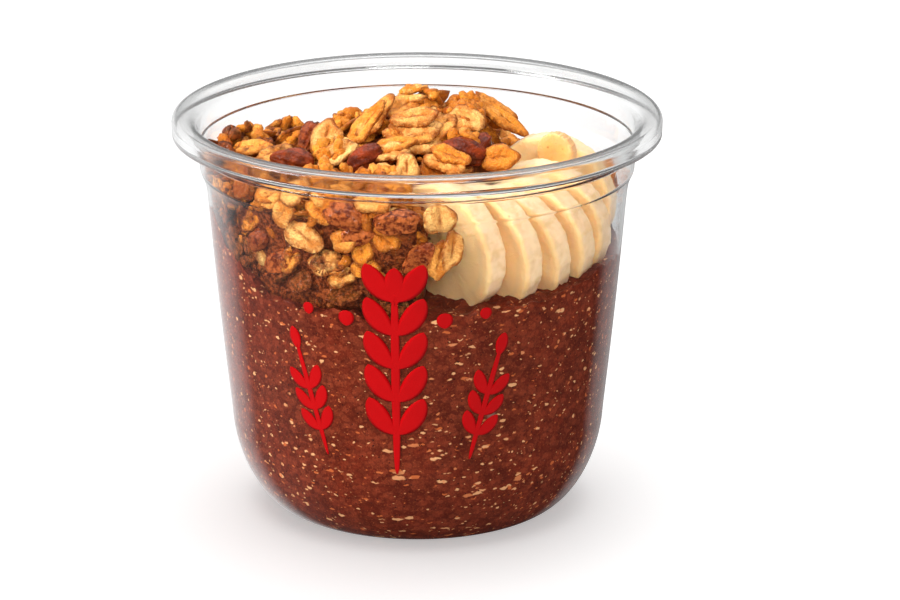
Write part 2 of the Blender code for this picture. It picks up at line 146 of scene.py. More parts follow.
# Larger flakes that show: x, y, z, length and width in mm, turn in degrees, lean up and right, paleness
CHOSEN_FLAKES = (
    (-21.6, -34.5, 65.6, 9.4, 6.2, -35, 0.0, -0.55, 0.85),
    (-15.8, -8.3, 74.4, 8.8, 5.2, 38, 0.6, -0.10, 1.00),
    (4.5, -41.5, 71.0, 6.8, 6.2, 100, 0.0, 0.10, 0.85),
    (-0.6, -3.0, 80.6, 9.6, 6.6, 8, 1.3, -0.10, 0.75),
    (0.2, -4.2, 79.1, 10.4, 6.8, -4, 1.2, 0.05, 0.85),
    (-1.2, -5.4, 77.6, 10.2, 6.4, 10, 1.1, 0.00, 0.65),
    (-0.2, -6.8, 76.2, 9.4, 6.0, 3, 1.0, 0.10, 0.80),
    (-5.3, -10.3, 75.4, 9.0, 4.8, 22, 0.9, 0.00, 0.85),
    (-4.2, -8.6, 76.4, 8.6, 4.6, 30, 0.9, 0.00, 0.60),
    (-18.3, 1.4, 75.2, 8.2, 6.2, 72, 0.3, -0.20, 0.90),
    (5.6, -15.4, 74.6, 8.8, 4.8, -18, 0.9, 0.10, 0.75),
    (6.6, -14.2, 75.8, 8.0, 4.6, -24, 0.8, 0.20, 0.55),
    (-1.9, -17.0, 74.2, 5.6, 5.2, 90, 0.2, 0.00, 0.85),
    (17.4, 8.6, 77.2, 11.0, 5.2, -38, 0.9, 0.55, 0.55),
    (15.8, 10.2, 79.0, 10.4, 5.0, -32, 0.8, 0.60, 0.70),
    (9.6, -1.4, 79.8, 8.4, 6.4, -20, 0.7, 0.10, 0.80),
    (-8.3, 2.4, 79.4, 11.0, 5.2, 56, 0.6, -0.55, 0.75),
    (-10.2, 1.6, 78.0, 10.6, 5.0, 52, 0.5, -0.60, 0.60),
    (-3.0, 4.6, 80.9, 8.0, 5.6, 30, 0.9, -0.20, 0.70),
    (16.4, -10.6, 74.4, 8.2, 5.8, 12, 0.5, 0.10, 0.45),
    (6.9, -39.8, 64.2, 8.6, 4.2, 82, 0.0, 0.45, 0.80),
    (4.2, -40.2, 62.0, 8.2, 4.0, 74, 0.0, 0.50, 0.65),
    (-13.6, -38.4, 65.8, 6.2, 4.8, 20, 0.1, -0.30, 0.65),
    (-17.0, -36.5, 60.8, 6.8, 5.2, -5, 0.1, -0.40, 0.80),
    (-25.6, -33.0, 69.6, 6.4, 5.0, 35, 0.0, -0.60, 0.75),
    (-9.5, -39.0, 60.2, 6.0, 4.4, 160, 0.2, -0.20, 0.55),
    (-28.6, -5.0, 73.6, 8.4, 4.4, 14, 1.0, -0.30, 0.75),
    (-33.0, 2.0, 73.0, 7.6, 4.6, -12, 1.0, -0.40, 0.65),
    (-24.0, -31.6, 60.2, 6.6, 4.4, 62, 0.1, -0.50, 0.60),
    (-17.2, -35.8, 60.0, 7.6, 4.6, -20, 0.2, -0.35, 0.85),
    (-13.8, -37.0, 58.2, 7.0, 4.2, 25, 0.2, -0.25, 0.75),
    (-10.3, -38.4, 63.6, 6.4, 4.2, 100, 0.1, -0.20, 0.50),
    (-7.9, -38.8, 58.6, 6.4, 4.4, -30, 0.2, -0.15, 0.65),
    (-14.0, -36.8, 54.4, 7.2, 4.8, 10, 0.2, -0.25, 0.45),
    (-22.2, -32.6, 55.8, 6.0, 4.2, 40, 0.2, -0.50, 0.35),
    (-28.0, -28.8, 72.0, 6.8, 5.2, 15, 0.3, -0.60, 0.70),
    (-18.2, -36.0, 71.0, 6.6, 5.0, -15, 0.2, -0.35, 0.60),
    (-5.9, -39.6, 66.4, 6.6, 4.4, -40, 0.1, -0.10, 0.40),
    (-31.6, -24.2, 66.2, 6.2, 4.4, 50, 0.1, -0.75, 0.45),
    (-23.2, -33.2, 74.0, 7.0, 5.0, 25, 0.4, -0.40, 0.80),
    (-8.2, -39.4, 73.6, 7.2, 5.0, -5, 0.4, -0.15, 0.75),
)
# Dried fruit and nuts that show, in the same order, with 1 for a nut in place of the paleness
CHOSEN_FRUIT = (
    (8.8, -10.2, 75.4, 9.6, 6.4, -12, 0.5, 0.1, 0.0),
    (12.6, -7.4, 75.6, 6.0, 5.2, 60, 0.5, 0.1, 0.0),
    (-22.0, 4.6, 74.4, 7.4, 4.6, 80, 0.5, 0.0, 0.3),
    (-24.4, -7.6, 73.2, 9.0, 5.2, -8, 0.8, 0.0, 0.1),
    (-10.6, -11.4, 74.2, 8.6, 5.0, 42, 0.5, 0.0, 0.0),
    (-13.7, -38.4, 70.6, 8.8, 6.2, -6, 0.0, -0.3, 0.8),
    (-11.0, -38.8, 66.9, 7.6, 4.2, 12, 0.0, -0.2, 1.0),
    (-3.4, -41.0, 70.2, 8.4, 5.2, 10, 0.0, 0.0, 1.0),
    (0.6, -40.6, 62.4, 7.8, 5.4, 50, 0.0, 0.1, 0.6),
    (-30.7, -25.6, 62.1, 5.4, 4.6, 30, 0.0, -0.7, 0.4),
    (-26.6, -29.6, 58.6, 6.6, 5.0, 10, 0.0, -0.6, 0.7),
    (-6.0, 30.0, 66.5, 8.0, 5.4, 20, 1.5, 0.0, 0.0),
    (-26.0, 20.0, 69.5, 8.4, 5.4, 70, 1.5, 0.0, 0.0),
    (17.0, 24.0, 65.5, 7.6, 5.0, 130, 1.5, 0.0, 0.2),
)
# The directions right, up and out of a view from the front and slightly above
FACING = np.array([[1, 0, 0], [0, 0.302, 0.953], [0, -0.953, 0.302]])


def length(name, default, description):
    return FloatProperty(name=name, description=description, default=default, unit="LENGTH")


def paint(name, default, description):
    return FloatVectorProperty(name=name, description=description, default=default, subtype="COLOR")


class OATS_PG_sizes(bpy.types.PropertyGroup):
    wall: length("Cup wall", 0.0006, "Thickness of the clear wall")
    flake_length: length("Flake length", 0.0080, "Length of a whole oat flake")
    flake_width: length("Flake width", 0.0055, "Width of a whole oat flake")
    flake_thickness: length("Flake thickness", 0.0013, "Thickness of a flake")
    cluster_spacing: length("Cluster spacing", 0.0064, "Distance between clusters of flakes")
    banana_radius: length("Banana radius", 0.0134, "Radius of a slice")
    banana_thickness: length("Banana thickness", 0.0054, "Thickness of a slice")
    seed: IntProperty(name="Seed", description="Which scatter of granola is made", default=4)


class OATS_PG_colours(bpy.types.PropertyGroup):
    chocolate: paint("Chocolate oats", (0.106, 0.0125, 0.0042), "Colour of the oats")
    oat_fleck: paint("Oat flecks", (0.74, 0.38, 0.17), "Colour of the pale flecks")
    toasted: paint("Toasted oats", (0.86, 0.300, 0.030), "Colour of the flakes")
    toasted_pale: paint("Pale oats", (0.97, 0.57, 0.19), "Colour of the palest flakes")
    raisin: paint("Raisin", (0.065, 0.009, 0.003), "Colour of the raisins")
    banana: paint("Banana", (0.96, 0.67, 0.40), "Colour of the flesh")
    ink: paint("Ink", (0.34, 0.001, 0.002), "Colour of the printed sprigs")


def corner_points():
    """The corners of the cup's outside from the middle of its base to its neck, as radius and height.

    The base is flat, the corner is a quarter superellipse, the body a straight cone with a slight
    parabolic bulge, and the collar, bead and neck follow.
    """
    turn = np.radians(np.linspace(8, 82, 9))
    power = 2 / CORNER_ROUNDNESS
    corner = np.column_stack(
        [
            BASE_FLAT_RADIUS + (CORNER_TOP_RADIUS - BASE_FLAT_RADIUS) * np.sin(turn) ** power,
            CORNER_HEIGHT * (1 - np.cos(turn) ** power),
        ]
    )
    share = np.linspace(0, 1, 6)
    bulge = 4 * BODY_BULGE * share * (1 - share)
    body = np.column_stack(
        [
            CORNER_TOP_RADIUS + (BODY_TOP_RADIUS - CORNER_TOP_RADIUS) * share + bulge,
            CORNER_HEIGHT + (BODY_TOP_HEIGHT - CORNER_HEIGHT) * share,
        ]
    )
    step_height = COLLAR_HEIGHT - BODY_TOP_HEIGHT
    bead_share = (BEAD_HEIGHT - COLLAR_HEIGHT) / (NECK_HEIGHT - COLLAR_HEIGHT)
    bead_radius = COLLAR_RADIUS + (NECK_RADIUS - COLLAR_RADIUS) * bead_share
    ledge = 0.25 * (COLLAR_RADIUS - BODY_TOP_RADIUS)
    top = [
        (BODY_TOP_RADIUS + ledge, BODY_TOP_HEIGHT + 0.5 * step_height),
        (COLLAR_RADIUS - 1.7 * ledge, COLLAR_HEIGHT - 0.24 * step_height),
        (COLLAR_RADIUS - 0.8 * ledge, COLLAR_HEIGHT - 0.10 * step_height),
        (COLLAR_RADIUS, COLLAR_HEIGHT),
        (COLLAR_RADIUS, COLLAR_HEIGHT + 0.16 * step_height),
        *((bead_radius + out * BEAD_SIZE, BEAD_HEIGHT + up) for up, out in BEAD_OUTLINE),
        (NECK_RADIUS, NECK_HEIGHT),
    ]
    return np.vstack([[(0, 0), (BASE_FLAT_RADIUS, 0)], corner, body, top])


def rounded(line):
    """The line with its corners cut at a quarter and three quarters of each side, twice."""
    for _ in range(2):
        start, end = line[:-1], line[1:]
        cut = np.stack([0.75 * start + 0.25 * end, 0.25 * start + 0.75 * end], axis=1).reshape(-1, 2)
        line = np.vstack([line[:1], cut, line[-1:]])
    return line


def moved_in(line, distance):
    """The line moved to its left, which is the inside of the cup, by a distance square to it."""
    along = np.diff(line, axis=0)
    along /= np.linalg.norm(along, axis=1)[:, None]
    side = np.stack([-along[:, 1], along[:, 0]], axis=1)
    before = np.vstack([side[:1], side])
    after = np.vstack([side, side[-1:]])
    middle = before + after
    middle /= (middle * before).sum(axis=1)[:, None]
    moved = line + distance * middle
    moved[0, 0] = 0.0
    return moved


def flange_line(wall):
    """The upper face of the flange: a quarter ellipse up to the crest, a quarter circle down, a skirt."""
    inner_radius = NECK_RADIUS - wall
    rise = np.radians(np.linspace(12, 90, 9))
    fall = np.radians(np.linspace(84, 0, 7))
    outer_width = RIM_RADIUS - CREST_OUTER_RADIUS
    inner = np.column_stack(
        [
            CREST_INNER_RADIUS - (CREST_INNER_RADIUS - inner_radius) * np.cos(rise),
            NECK_HEIGHT + (CUP_HEIGHT - NECK_HEIGHT) * np.sin(rise),
        ]
    )
    outer = np.column_stack(
        [CREST_OUTER_RADIUS + outer_width * np.cos(fall), CUP_HEIGHT - outer_width * (1 - np.sin(fall))]
    )
    skirt = [
        (RIM_RADIUS - 0.05, CUP_HEIGHT - 0.7 * SKIRT_DROP),
        (RIM_RADIUS - 0.1, CUP_HEIGHT - SKIRT_DROP),
    ]
    return np.vstack([inner, outer, skirt])


CORNERS = corner_points()


def wall_line(depth):
    """The rounded line of the wall at a depth below its outside."""
    return rounded(moved_in(CORNERS, depth))


def radius_inside(height, depth):
    """The radius at a height of the wall's line at a depth."""
    line = wall_line(depth)[4:]
    return np.interp(height, line[:, 1], line[:, 0])


def at_azimuth(azimuth, radius):
    """The x and y of a point: radius times the sine, and minus radius times the cosine, of its azimuth."""
    turn = np.radians(azimuth)
    return radius * np.sin(turn), -radius * np.cos(turn)


def azimuth_of(x, y):
    return np.degrees(np.arctan2(x, -y))


def waves(points, wavelength, seed, count=10):
    """Seeded unevenness round 0: a sum of sines of a point's distance along several random directions."""
    rng = np.random.default_rng(seed)
    directions = rng.normal(size=(count, 3))
    directions /= np.linalg.norm(directions, axis=1)[:, None]
    directions *= rng.uniform(0.65, 1.5, (count, 1))
    turns = 2 * np.pi / wavelength * (points @ directions.T) + rng.uniform(0, 2 * np.pi, count)
    return np.sin(turns).sum(axis=-1) / math.sqrt(count)


def oats_wall_height(azimuth):
    """How high the oats stand against the wall: high at the left, low at the front, slightly wavy."""
    turns = [-180, -120, -76, -60, -46, -30, 12, 39, 63, 78, 120, 180]
    heights = [57, 62, 63.5, 56.5, 51.2, 50.6, 50.4, 51.4, 54.5, 53.2, 55, 57]
    places = xyz(*at_azimuth(azimuth, 40.0), 0.0)
    wave = waves(places, 9.0, 21) + waves(places, 3.5, 22)
    return np.interp(azimuth, turns, heights) + 0.28 * wave


def oats_height(azimuth, share):
    """The top of the oats at a share of the way out: centre to wall height with share to the power 1.5."""
    x, y = at_azimuth(azimuth, share)
    bump = OATS_BUMP * (np.sin(7 * x + 2 * y + 1) + np.sin(9 * y - 4 * x)) * (1 - share)
    return OATS_CENTRE_HEIGHT + (oats_wall_height(azimuth) - OATS_CENTRE_HEIGHT) * share**1.5 + bump


def heap_height(x, y):
    """The top of the granola: a plateau and a round mound, sloping down to the back and the right."""
    away = ((x - HEAP_PEAK_AT[0]) ** 2 + (y - HEAP_PEAK_AT[1]) ** 2) / HEAP_PEAK_SPREAD**2
    back = HEAP_BACK_DROP * np.clip((y - 12) / 28, 0, 1)
    right = HEAP_RIGHT_DROP * np.clip((x - 12) / 14, 0, 1) * np.clip((y + 6) / 10, 0, 1)
    return HEAP_PLATEAU + HEAP_PEAK * np.exp(-away) - back - right


def heap_normals(x, y):
    """Upward unit normals of the heap, from the difference of its height 1 mm to each side."""
    rise_x = heap_height(x + 1, y) - heap_height(x - 1, y)
    rise_y = heap_height(x, y + 1) - heap_height(x, y - 1)
    return unit(xyz(-rise_x, -rise_y, 2.0))


def unit(vectors):
    return vectors / np.linalg.norm(vectors, axis=-1, keepdims=True)


def xyz(x, y, z):
    """Points whose coordinates run along a new last axis."""
    return np.stack(np.broadcast_arrays(x, y, z), axis=-1)


def closed_faces(rows, columns):
    """Faces of a closed skin: a pole at index 0, then rows of columns points, then a pole at the end."""
    column = np.arange(columns)
    following = (column + 1) % columns
    low = 1 + np.arange(rows - 1)[:, None] * columns
    high = low + columns
    quads = np.stack([low + column, low + following, high + following, high + column], axis=-1)
    last = 1 + rows * columns
    start = xyz(0, 1 + following, 1 + column)
    end = xyz(last - columns + column, last - columns + following, last)
    return [quads.reshape(-1, 4), start, end]


def skin(first, rings, last):
    """The points and faces of a closed skin: a pole, rings of points and another pole."""
    return np.vstack([[first], rings.reshape(-1, 3), [last]]), closed_faces(*rings.shape[:2])


def repeated(faces, count, points_each):
    """The faces of one shape, for count copies whose points follow each other."""
    offsets = (np.arange(count) * points_each)[:, None, None]
    return [(group[None] + offsets).reshape(-1, group.shape[1]) for group in faces]


def new_piece(name, points, faces, look, attributes=None):
    """A smooth mesh object at the origin, from points in mm, groups of faces and per-point attributes."""
    mesh = bpy.data.meshes.new(name)
    corners = np.concatenate([group.ravel() for group in faces])
    counts = np.concatenate([np.full(len(group), group.shape[1]) for group in faces])
    mesh.vertices.add(len(points))
    mesh.vertices.foreach_set("co", (points * MM).astype(np.float32).ravel())
    mesh.loops.add(len(corners))
    mesh.loops.foreach_set("vertex_index", corners.astype(np.int32))
    mesh.polygons.add(len(counts))
    starts = np.concatenate([[0], np.cumsum(counts)[:-1]])
    mesh.polygons.foreach_set("loop_start", starts.astype(np.int32))
    mesh.update(calc_edges=True)
    if mesh.validate():
        raise RuntimeError(f"{name} has faces that don't hold together")
    mesh.polygons.foreach_set("use_smooth", np.ones(len(counts), bool))
    for label, values in (attributes or {}).items():
        kind, field = ("FLOAT", "value") if values.ndim == 1 else ("FLOAT_VECTOR", "vector")
        made = mesh.attributes.new(label, kind, "POINT")
        made.data.foreach_set(field, values.astype(np.float32).ravel())
    mesh.materials.append(look)
    piece = bpy.data.objects.new(name, mesh)
    bpy.context.scene.collection.objects.link(piece)
    return piece


class Finish:
    """A material or a world being built, with short calls for its nodes."""

    def __init__(self, owner, output="ShaderNodeOutputMaterial"):
        owner.use_nodes = True
        self.owner, self.tree = owner, owner.node_tree
        self.tree.nodes.clear()
        self.output = self.node(output)

    def node(self, kind, settings=None, **inputs):
        """A node with its settings, and its inputs given by name as sockets or values."""
        made = self.tree.nodes.new(kind)
        for label, value in (settings or {}).items():
            setattr(made, label, value)
        for label, value in inputs.items():
            self.feed(made.inputs[label.replace("_", " ")], value)
        return made

    def feed(self, socket, value):
        if isinstance(value, bpy.types.NodeSocket):
            self.tree.links.new(value, socket)
        else:
            socket.default_value = value

    def fed(self, made, *values):
        """The node with its first inputs fed in order."""
        for socket, value in zip(made.inputs, values):
            self.feed(socket, value)
        return made

    def place(self):
        return self.node("ShaderNodeTexCoord").outputs["Object"]

    def attribute(self, name, field="Fac"):
        return self.node("ShaderNodeAttribute", {"attribute_name": name}).outputs[field]

    def mapped(self, vector, turn=(0, 0, 0), scale=(1, 1, 1), move=(0, 0, 0)):
        turn = [math.radians(angle) for angle in turn]
        made = self.node("ShaderNodeMapping", Vector=vector, Rotation=turn, Scale=scale, Location=move)
        return made.outputs["Vector"]

    def noise(self, vector, size, detail=2.0, roughness=0.5):
        """Soft noise whose spots are about size mm across."""
        scale = 1 / (size * MM)
        made = self.node("ShaderNodeTexNoise", Vector=vector, Scale=scale, Detail=detail, Roughness=roughness)
        return made.outputs["Fac"]

    def cells(self, vector, size):
        """Voronoi cells about size mm across: the distance from the middle and the cell's random colour."""
        made = self.node("ShaderNodeTexVoronoi", Vector=vector, Scale=1 / (size * MM))
        return made.outputs["Distance"], made.outputs["Color"]

    def channel(self, colour, index):
        return self.node("ShaderNodeSeparateColor", Color=colour).outputs[index]

    def spots(self, vector, size, index, least, outer, inner, most=1.0):
        """Spots in those cells whose random channel is over the least, fading from outer to inner."""
        distance, cell = self.cells(vector, size)
        shows = self.math("GREATER_THAN", self.channel(cell, index), least)
        return self.product(shows, self.ramp(distance, outer, inner, 0.0, most))

    def ramp(self, value, low, high, start=0.0, end=1.0):
        """The value taken smoothly from low..high to start..end."""
        made = self.node("ShaderNodeMapRange", {"interpolation_type": "SMOOTHSTEP"})
        return self.fed(made, value, low, high, start, end).outputs["Result"]

    def math(self, operation, *values):
        return self.fed(self.node("ShaderNodeMath", {"operation": operation}), *values).outputs[0]

    def product(self, first, second):
        return self.math("MULTIPLY", first, second)

    def vector(self, operation, *values):
        return self.fed(self.node("ShaderNodeVectorMath", {"operation": operation}), *values).outputs

    def mix(self, share, first, second):
        made = self.node("ShaderNodeMix", {"data_type": "RGBA"})
        for number, value in ((0, share), (6, first), (7, second)):
            self.feed(made.inputs[number], (*value, 1.0) if isinstance(value, tuple) else value)
        return made.outputs[2]

    def bump(self, height, distance, strength):
        made = self.node("ShaderNodeBump", Height=height, Distance=distance * MM, Strength=strength)
        return made.outputs["Normal"]

    def principled(self, colour, rough, normal, **others):
        """A Principled shader, with its other sockets given by name."""
        kind = "ShaderNodeBsdfPrincipled"
        return self.node(kind, Base_Color=colour, Roughness=rough, Normal=normal, **others)

    def blend(self, share, first, second):
        """The shaders of two nodes mixed by a share."""
        return self.fed(self.node("ShaderNodeMixShader"), share, first.outputs[0], second.outputs[0])

    def finished(self, shader):
        self.tree.links.new(shader.outputs[0], self.output.inputs["Surface"])
        return self.owner


def material(name):
    """The named material, begun anew."""
    return Finish(bpy.data.materials.get(name) or bpy.data.materials.new(name))


def shaded(colour, factor):
    """The colour made darker or lighter by a factor."""
    return tuple(min(1.0, value * factor) for value in colour)


def clear_plastic_finish():
    """Clear thermoformed plastic with a slow ripple, which lets the lamps through to the food."""
    made = material("clear_cup_plastic")
    place = made.place()
    ripple = made.noise(made.mapped(place, scale=(1, 1, 0.35)), 9.0, 1.0)
    height = made.node("ShaderNodeSeparateXYZ", Vector=place).outputs[2]
    frost = made.ramp(height, (NECK_HEIGHT - 0.8) * MM, (NECK_HEIGHT + 0.6) * MM, 0.02, 0.085)
    normal = made.bump(ripple, 0.12, 0.25)
    shell = made.principled((0.945, 0.95, 0.95, 1), frost, normal, IOR=1.5, Transmission_Weight=1.0)
    path = made.node("ShaderNodeLightPath")
    passing = made.math("MAXIMUM", path.outputs["Is Shadow Ray"], path.outputs["Is Diffuse Ray"])
    through = made.node("ShaderNodeBsdfTransparent", Color=(0.97, 0.97, 0.97, 1))
    return made.finished(made.blend(passing, shell, through))


# Sets of slivers of oat: turn in degrees, stretch, size in mm and how few of the cells hold one
SLIVERS = (
    ((0, 0, 0), (0.34, 0.9, 1.0), 1.15, 0.96),
    ((0, 35, 20), (0.32, 0.8, 1.0), 1.00, 0.955),
    ((0, -40, 65), (0.36, 0.9, 1.0), 0.90, 0.955),
    ((15, 80, -30), (0.38, 0.8, 1.0), 0.78, 0.95),
    ((50, 10, -70), (0.40, 1.0, 1.0), 0.62, 0.94),
    ((5, 10, 5), (0.6, 0.9, 1.0), 0.45, 0.93),
)


def chocolate_oats_finish(colours):
    """Chocolate oats: mottled brown with pale and orange slivers of oat, grey blobs, and fine pits darkened
    with painted shade.
    """
    made = material("chocolate_oats_pressed")
    place = made.place()
    bent = made.node("ShaderNodeTexNoise", Vector=place, Scale=900.0, Detail=1.0).outputs["Color"]
    lean = made.vector("SUBTRACT", bent, (0.5, 0.5, 0.5))[0]
    warped = made.vector("MULTIPLY_ADD", lean, (0.9 * MM,) * 3, place)[0]

    base = tuple(colours.chocolate)
    patches = made.ramp(made.noise(place, 7.0, 3.0, 0.6), 0.35, 0.65)
    colour = made.mix(patches, shaded(base, 0.78), shaded(base, 1.25))
    grain_distance, grain_colour = made.cells(made.mapped(warped, scale=(1, 1, 1.3)), 1.5)
    grain = made.ramp(made.channel(grain_colour, 0), 0.15, 0.95, 0.0, 0.55)
    colour = made.mix(grain, colour, (0.21, 0.036, 0.014))
    seams = made.ramp(grain_distance, 0.35, 0.75)
    colour = made.mix(made.product(seams, 0.45), colour, shaded(base, 0.45))
    speckle = made.noise(place, 0.42, 3.0, 0.7)
    colour = made.mix(made.ramp(speckle, 0.54, 0.72, 0.0, 0.55), colour, (0.30, 0.062, 0.020))
    colour = made.mix(made.ramp(speckle, 0.46, 0.30, 0.0, 0.7), colour, shaded(base, 0.35))

    raised = None
    for number, (turn, stretch, size, least) in enumerate(SLIVERS):
        shift = (0.013 * number, 0.007 * number, 0.011 * number)
        distance, cell = made.cells(made.mapped(warped, turn, stretch, shift), size)
        parts = made.node("ShaderNodeSeparateColor", Color=cell).outputs
        reach = made.ramp(parts[1], 0.0, 1.0, 0.24, 0.46)
        inside = made.ramp(made.math("SUBTRACT", reach, distance), -0.03, 0.12)
        sliver = made.product(made.math("GREATER_THAN", parts[0], least), inside)
        warm = made.mix(made.ramp(parts[2], 0.30, 0.75), tuple(colours.oat_fleck), (0.50, 0.115, 0.03))
        colour = made.mix(made.product(sliver, 0.72), colour, warm)
        raised = sliver if raised is None else made.math("MAXIMUM", raised, sliver)

    blob = made.spots(made.mapped(place, (20, 30, 0)), 7.0, 0, 0.86, 0.2, 0.05, 0.7)
    colour = made.mix(blob, colour, (0.24, 0.13, 0.10))
    # The pits are sunk by the bump and painted near black: painted shade in the small hollows.
    pit_painted_shade = made.spots(place, 0.9, 1, 0.66, 0.22, 0.10)
    colour = made.mix(pit_painted_shade, colour, (0.012, 0.004, 0.003))

    relief = made.math("SUBTRACT", made.noise(place, 1.2, 4.0, 0.6), made.product(pit_painted_shade, 0.6))
    relief = made.math("MULTIPLY_ADD", raised, 0.25, relief)
    rough = made.ramp(made.noise(place, 3.0), 0.3, 0.7, 0.48, 0.68)
    normal = made.bump(relief, 0.35, 0.5)
    return made.finished(made.principled(colour, rough, normal, Specular_IOR_Level=0.1))


def toasted_oats_finish(colours):
    """Toasted, honey-glazed oats: each piece has its tint, orange rims, painted shade along the flakes'
    creases, and chocolate where stained.
    """
    made = material("toasted_oats_glazed")
    place = made.place()
    tint, edge, stain = made.attribute("tint"), made.attribute("edge"), made.attribute("stain")
    mid, pale = tuple(colours.toasted), tuple(colours.toasted_pale)
    colour = made.mix(made.ramp(tint, 0.0, 0.55), (0.26, 0.045, 0.004), mid)
    colour = made.mix(made.ramp(tint, 0.5, 1.0), colour, pale)
    toast = made.noise(place, 3.2, 3.0, 0.6)
    colour = made.mix(made.ramp(toast, 0.41, 0.64, 0.0, 0.8), colour, (0.58, 0.155, 0.012))
    # The edge attribute marks both the rims and the flakes' creases: the rims are toasted darker, and the
    # darker creases are painted shade.
    rim = made.product(made.ramp(edge, 0.40, 0.95), made.ramp(made.noise(place, 1.6, 2.0), 0.26, 0.54))
    colour = made.mix(made.product(rim, 0.9), colour, (0.24, 0.045, 0.004))
    bran = made.spots(made.mapped(place, (20, 40, 10), (0.5, 1, 1)), 0.7, 0, 0.78, 0.34, 0.12)
    colour = made.mix(made.product(bran, 0.65), colour, (0.24, 0.075, 0.02))
    fold = made.math("ABSOLUTE", made.math("SUBTRACT", made.noise(place, 1.0, 3.0, 0.6), 0.5))
    colour = made.mix(made.ramp(fold, 0.045, 0.0, 0.0, 0.5), colour, (0.40, 0.095, 0.006))
    flour = made.ramp(made.noise(place, 0.5, 3.0, 0.7), 0.5, 0.8, 0.0, 0.35)
    colour = made.mix(flour, colour, shaded(pale, 1.08))
    smear = made.ramp(made.math("ADD", stain, made.noise(place, 2.4, 3.0, 0.6)), 0.85, 1.15)
    clods = made.ramp(made.noise(place, 0.9, 4.0, 0.7), 0.40, 0.64)
    mud = made.mix(clods, shaded(colours.chocolate, 0.35), (0.28, 0.060, 0.015))
    colour = made.mix(made.product(smear, 0.9), colour, mud)

    relief = made.math("MULTIPLY_ADD", made.noise(place, 0.45, 3.0, 0.65), 0.5, made.noise(place, 1.5, 2.0))
    relief = made.math("MULTIPLY_ADD", made.ramp(fold, 0.0, 0.14), 0.6, relief)
    rough = made.ramp(made.noise(place, 1.8, 2.0), 0.35, 0.65, 0.30, 0.55)
    glaze = {"Specular_IOR_Level": 0.14, "Coat_Weight": 0.10, "Coat_Roughness": 0.14}
    return made.finished(made.principled(colour, rough, made.bump(relief, 0.40, 0.8), **glaze))


def dried_fruit_finish(colours):
    """Dark red dried fruit with a sheen, and brown nuts where the nut attribute is 1."""
    made = material("dried_fruit")
    place = made.place()
    skin = made.ramp(made.noise(place, 2.5, 3.0, 0.6), 0.35, 0.7)
    colour = made.mix(skin, tuple(colours.raisin), (0.24, 0.032, 0.006))
    bark = made.ramp(made.noise(place, 1.1, 4.0, 0.6), 0.38, 0.6)
    shell = made.mix(bark, (0.10, 0.014, 0.004), (0.46, 0.115, 0.026))
    colour = made.mix(made.attribute("nut"), colour, shell)
    relief = made.math("ADD", made.noise(place, 1.3, 3.0, 0.6), made.noise(place, 0.5, 1.0))
    rough = made.ramp(made.noise(place, 1.6), 0.35, 0.65, 0.12, 0.26)
    normal = made.bump(relief, 0.35, 0.7)
    return made.finished(made.principled(colour, rough, normal, Specular_IOR_Level=0.22))


def banana_finish(colours):
    """Banana flesh: pale with a seedy middle of three lobes, a faint ring, radial streaks and fibres."""
    made = material("banana_flesh_cut")
    place = made.place()
    local = made.attribute("slice_place", "Vector")
    across, up, along = made.node("ShaderNodeSeparateXYZ", Vector=local).outputs
    angle = made.math("ARCTAN2", up, across)
    flat = made.node("ShaderNodeCombineXYZ", X=across, Y=up, Z=0.0).outputs[0]
    reach = made.vector("LENGTH", flat)["Value"]
    wobble = made.noise(place, 4.0, 2.0)
    reach = made.math("MULTIPLY_ADD", wobble, 0.10, made.math("SUBTRACT", reach, 0.05))
    lobes = made.math("SINE", made.math("MULTIPLY_ADD", angle, 3.0, 0.6))
    core_edge = made.math("MULTIPLY_ADD", lobes, 0.05, 0.33)
    in_core = made.ramp(made.math("SUBTRACT", core_edge, reach), -0.05, 0.05)

    base = tuple(colours.banana)
    clouds = made.ramp(made.noise(place, 5.0, 3.0, 0.6), 0.3, 0.7)
    colour = made.mix(clouds, shaded(base, 0.94), shaded(base, 1.04))
    cut_face = made.ramp(made.math("ABSOLUTE", along), 0.12, 0.19)
    colour = made.mix(made.product(cut_face, 0.7), colour, (0.98, 0.60, 0.23))
    colour = made.mix(made.product(in_core, 0.7), colour, (0.88, 0.54, 0.18))
    turned, outward = made.product(angle, 5.0), made.product(reach, 1.2)
    streak_place = made.node("ShaderNodeCombineXYZ", X=turned, Y=outward).outputs[0]
    streak = made.node("ShaderNodeTexNoise", Vector=streak_place, Scale=2.6, Detail=3.0).outputs["Fac"]
    colour = made.mix(made.ramp(streak, 0.5, 0.75, 0.0, 0.35), colour, (0.80, 0.54, 0.24))
    ring = made.product(made.ramp(reach, 0.74, 0.80), made.ramp(reach, 0.88, 0.82))
    colour = made.mix(made.product(ring, 0.35), colour, (0.78, 0.56, 0.29))
    fibres = made.ramp(made.noise(place, 2.2, 3.0), 0.40, 0.65)
    rim = made.product(made.ramp(reach, 0.93, 1.0), fibres)
    colour = made.mix(made.product(rim, 0.5), colour, (0.68, 0.40, 0.15))
    seed_ring = made.product(made.ramp(reach, 0.08, 0.13), made.ramp(reach, 0.32, 0.24))
    seeds = made.spots(made.mapped(local, scale=(1, 1, 0.05)), 130.0, 0, 0.35, 0.34, 0.16)
    colour = made.mix(made.product(seed_ring, seeds), colour, (0.24, 0.10, 0.03))
    colour = made.mix(made.product(made.attribute("ripe"), 0.6), colour, (0.62, 0.27, 0.05))
    dots = made.spots(place, 2.6, 0, 0.84, 0.09, 0.04)
    colour = made.mix(made.product(dots, 0.6), colour, (0.25, 0.12, 0.05))

    relief = made.math("MULTIPLY_ADD", streak, 0.7, made.noise(place, 0.7, 3.0, 0.6))
    rough = made.ramp(made.noise(place, 3.0), 0.35, 0.65, 0.38, 0.55)
    flesh = {"Subsurface_Weight": 0.4, "Subsurface_Radius": (1.0, 0.6, 0.3), "Subsurface_Scale": 0.002}
    return made.finished(made.principled(colour, rough, made.bump(relief, 0.25, 0.8), **flesh))


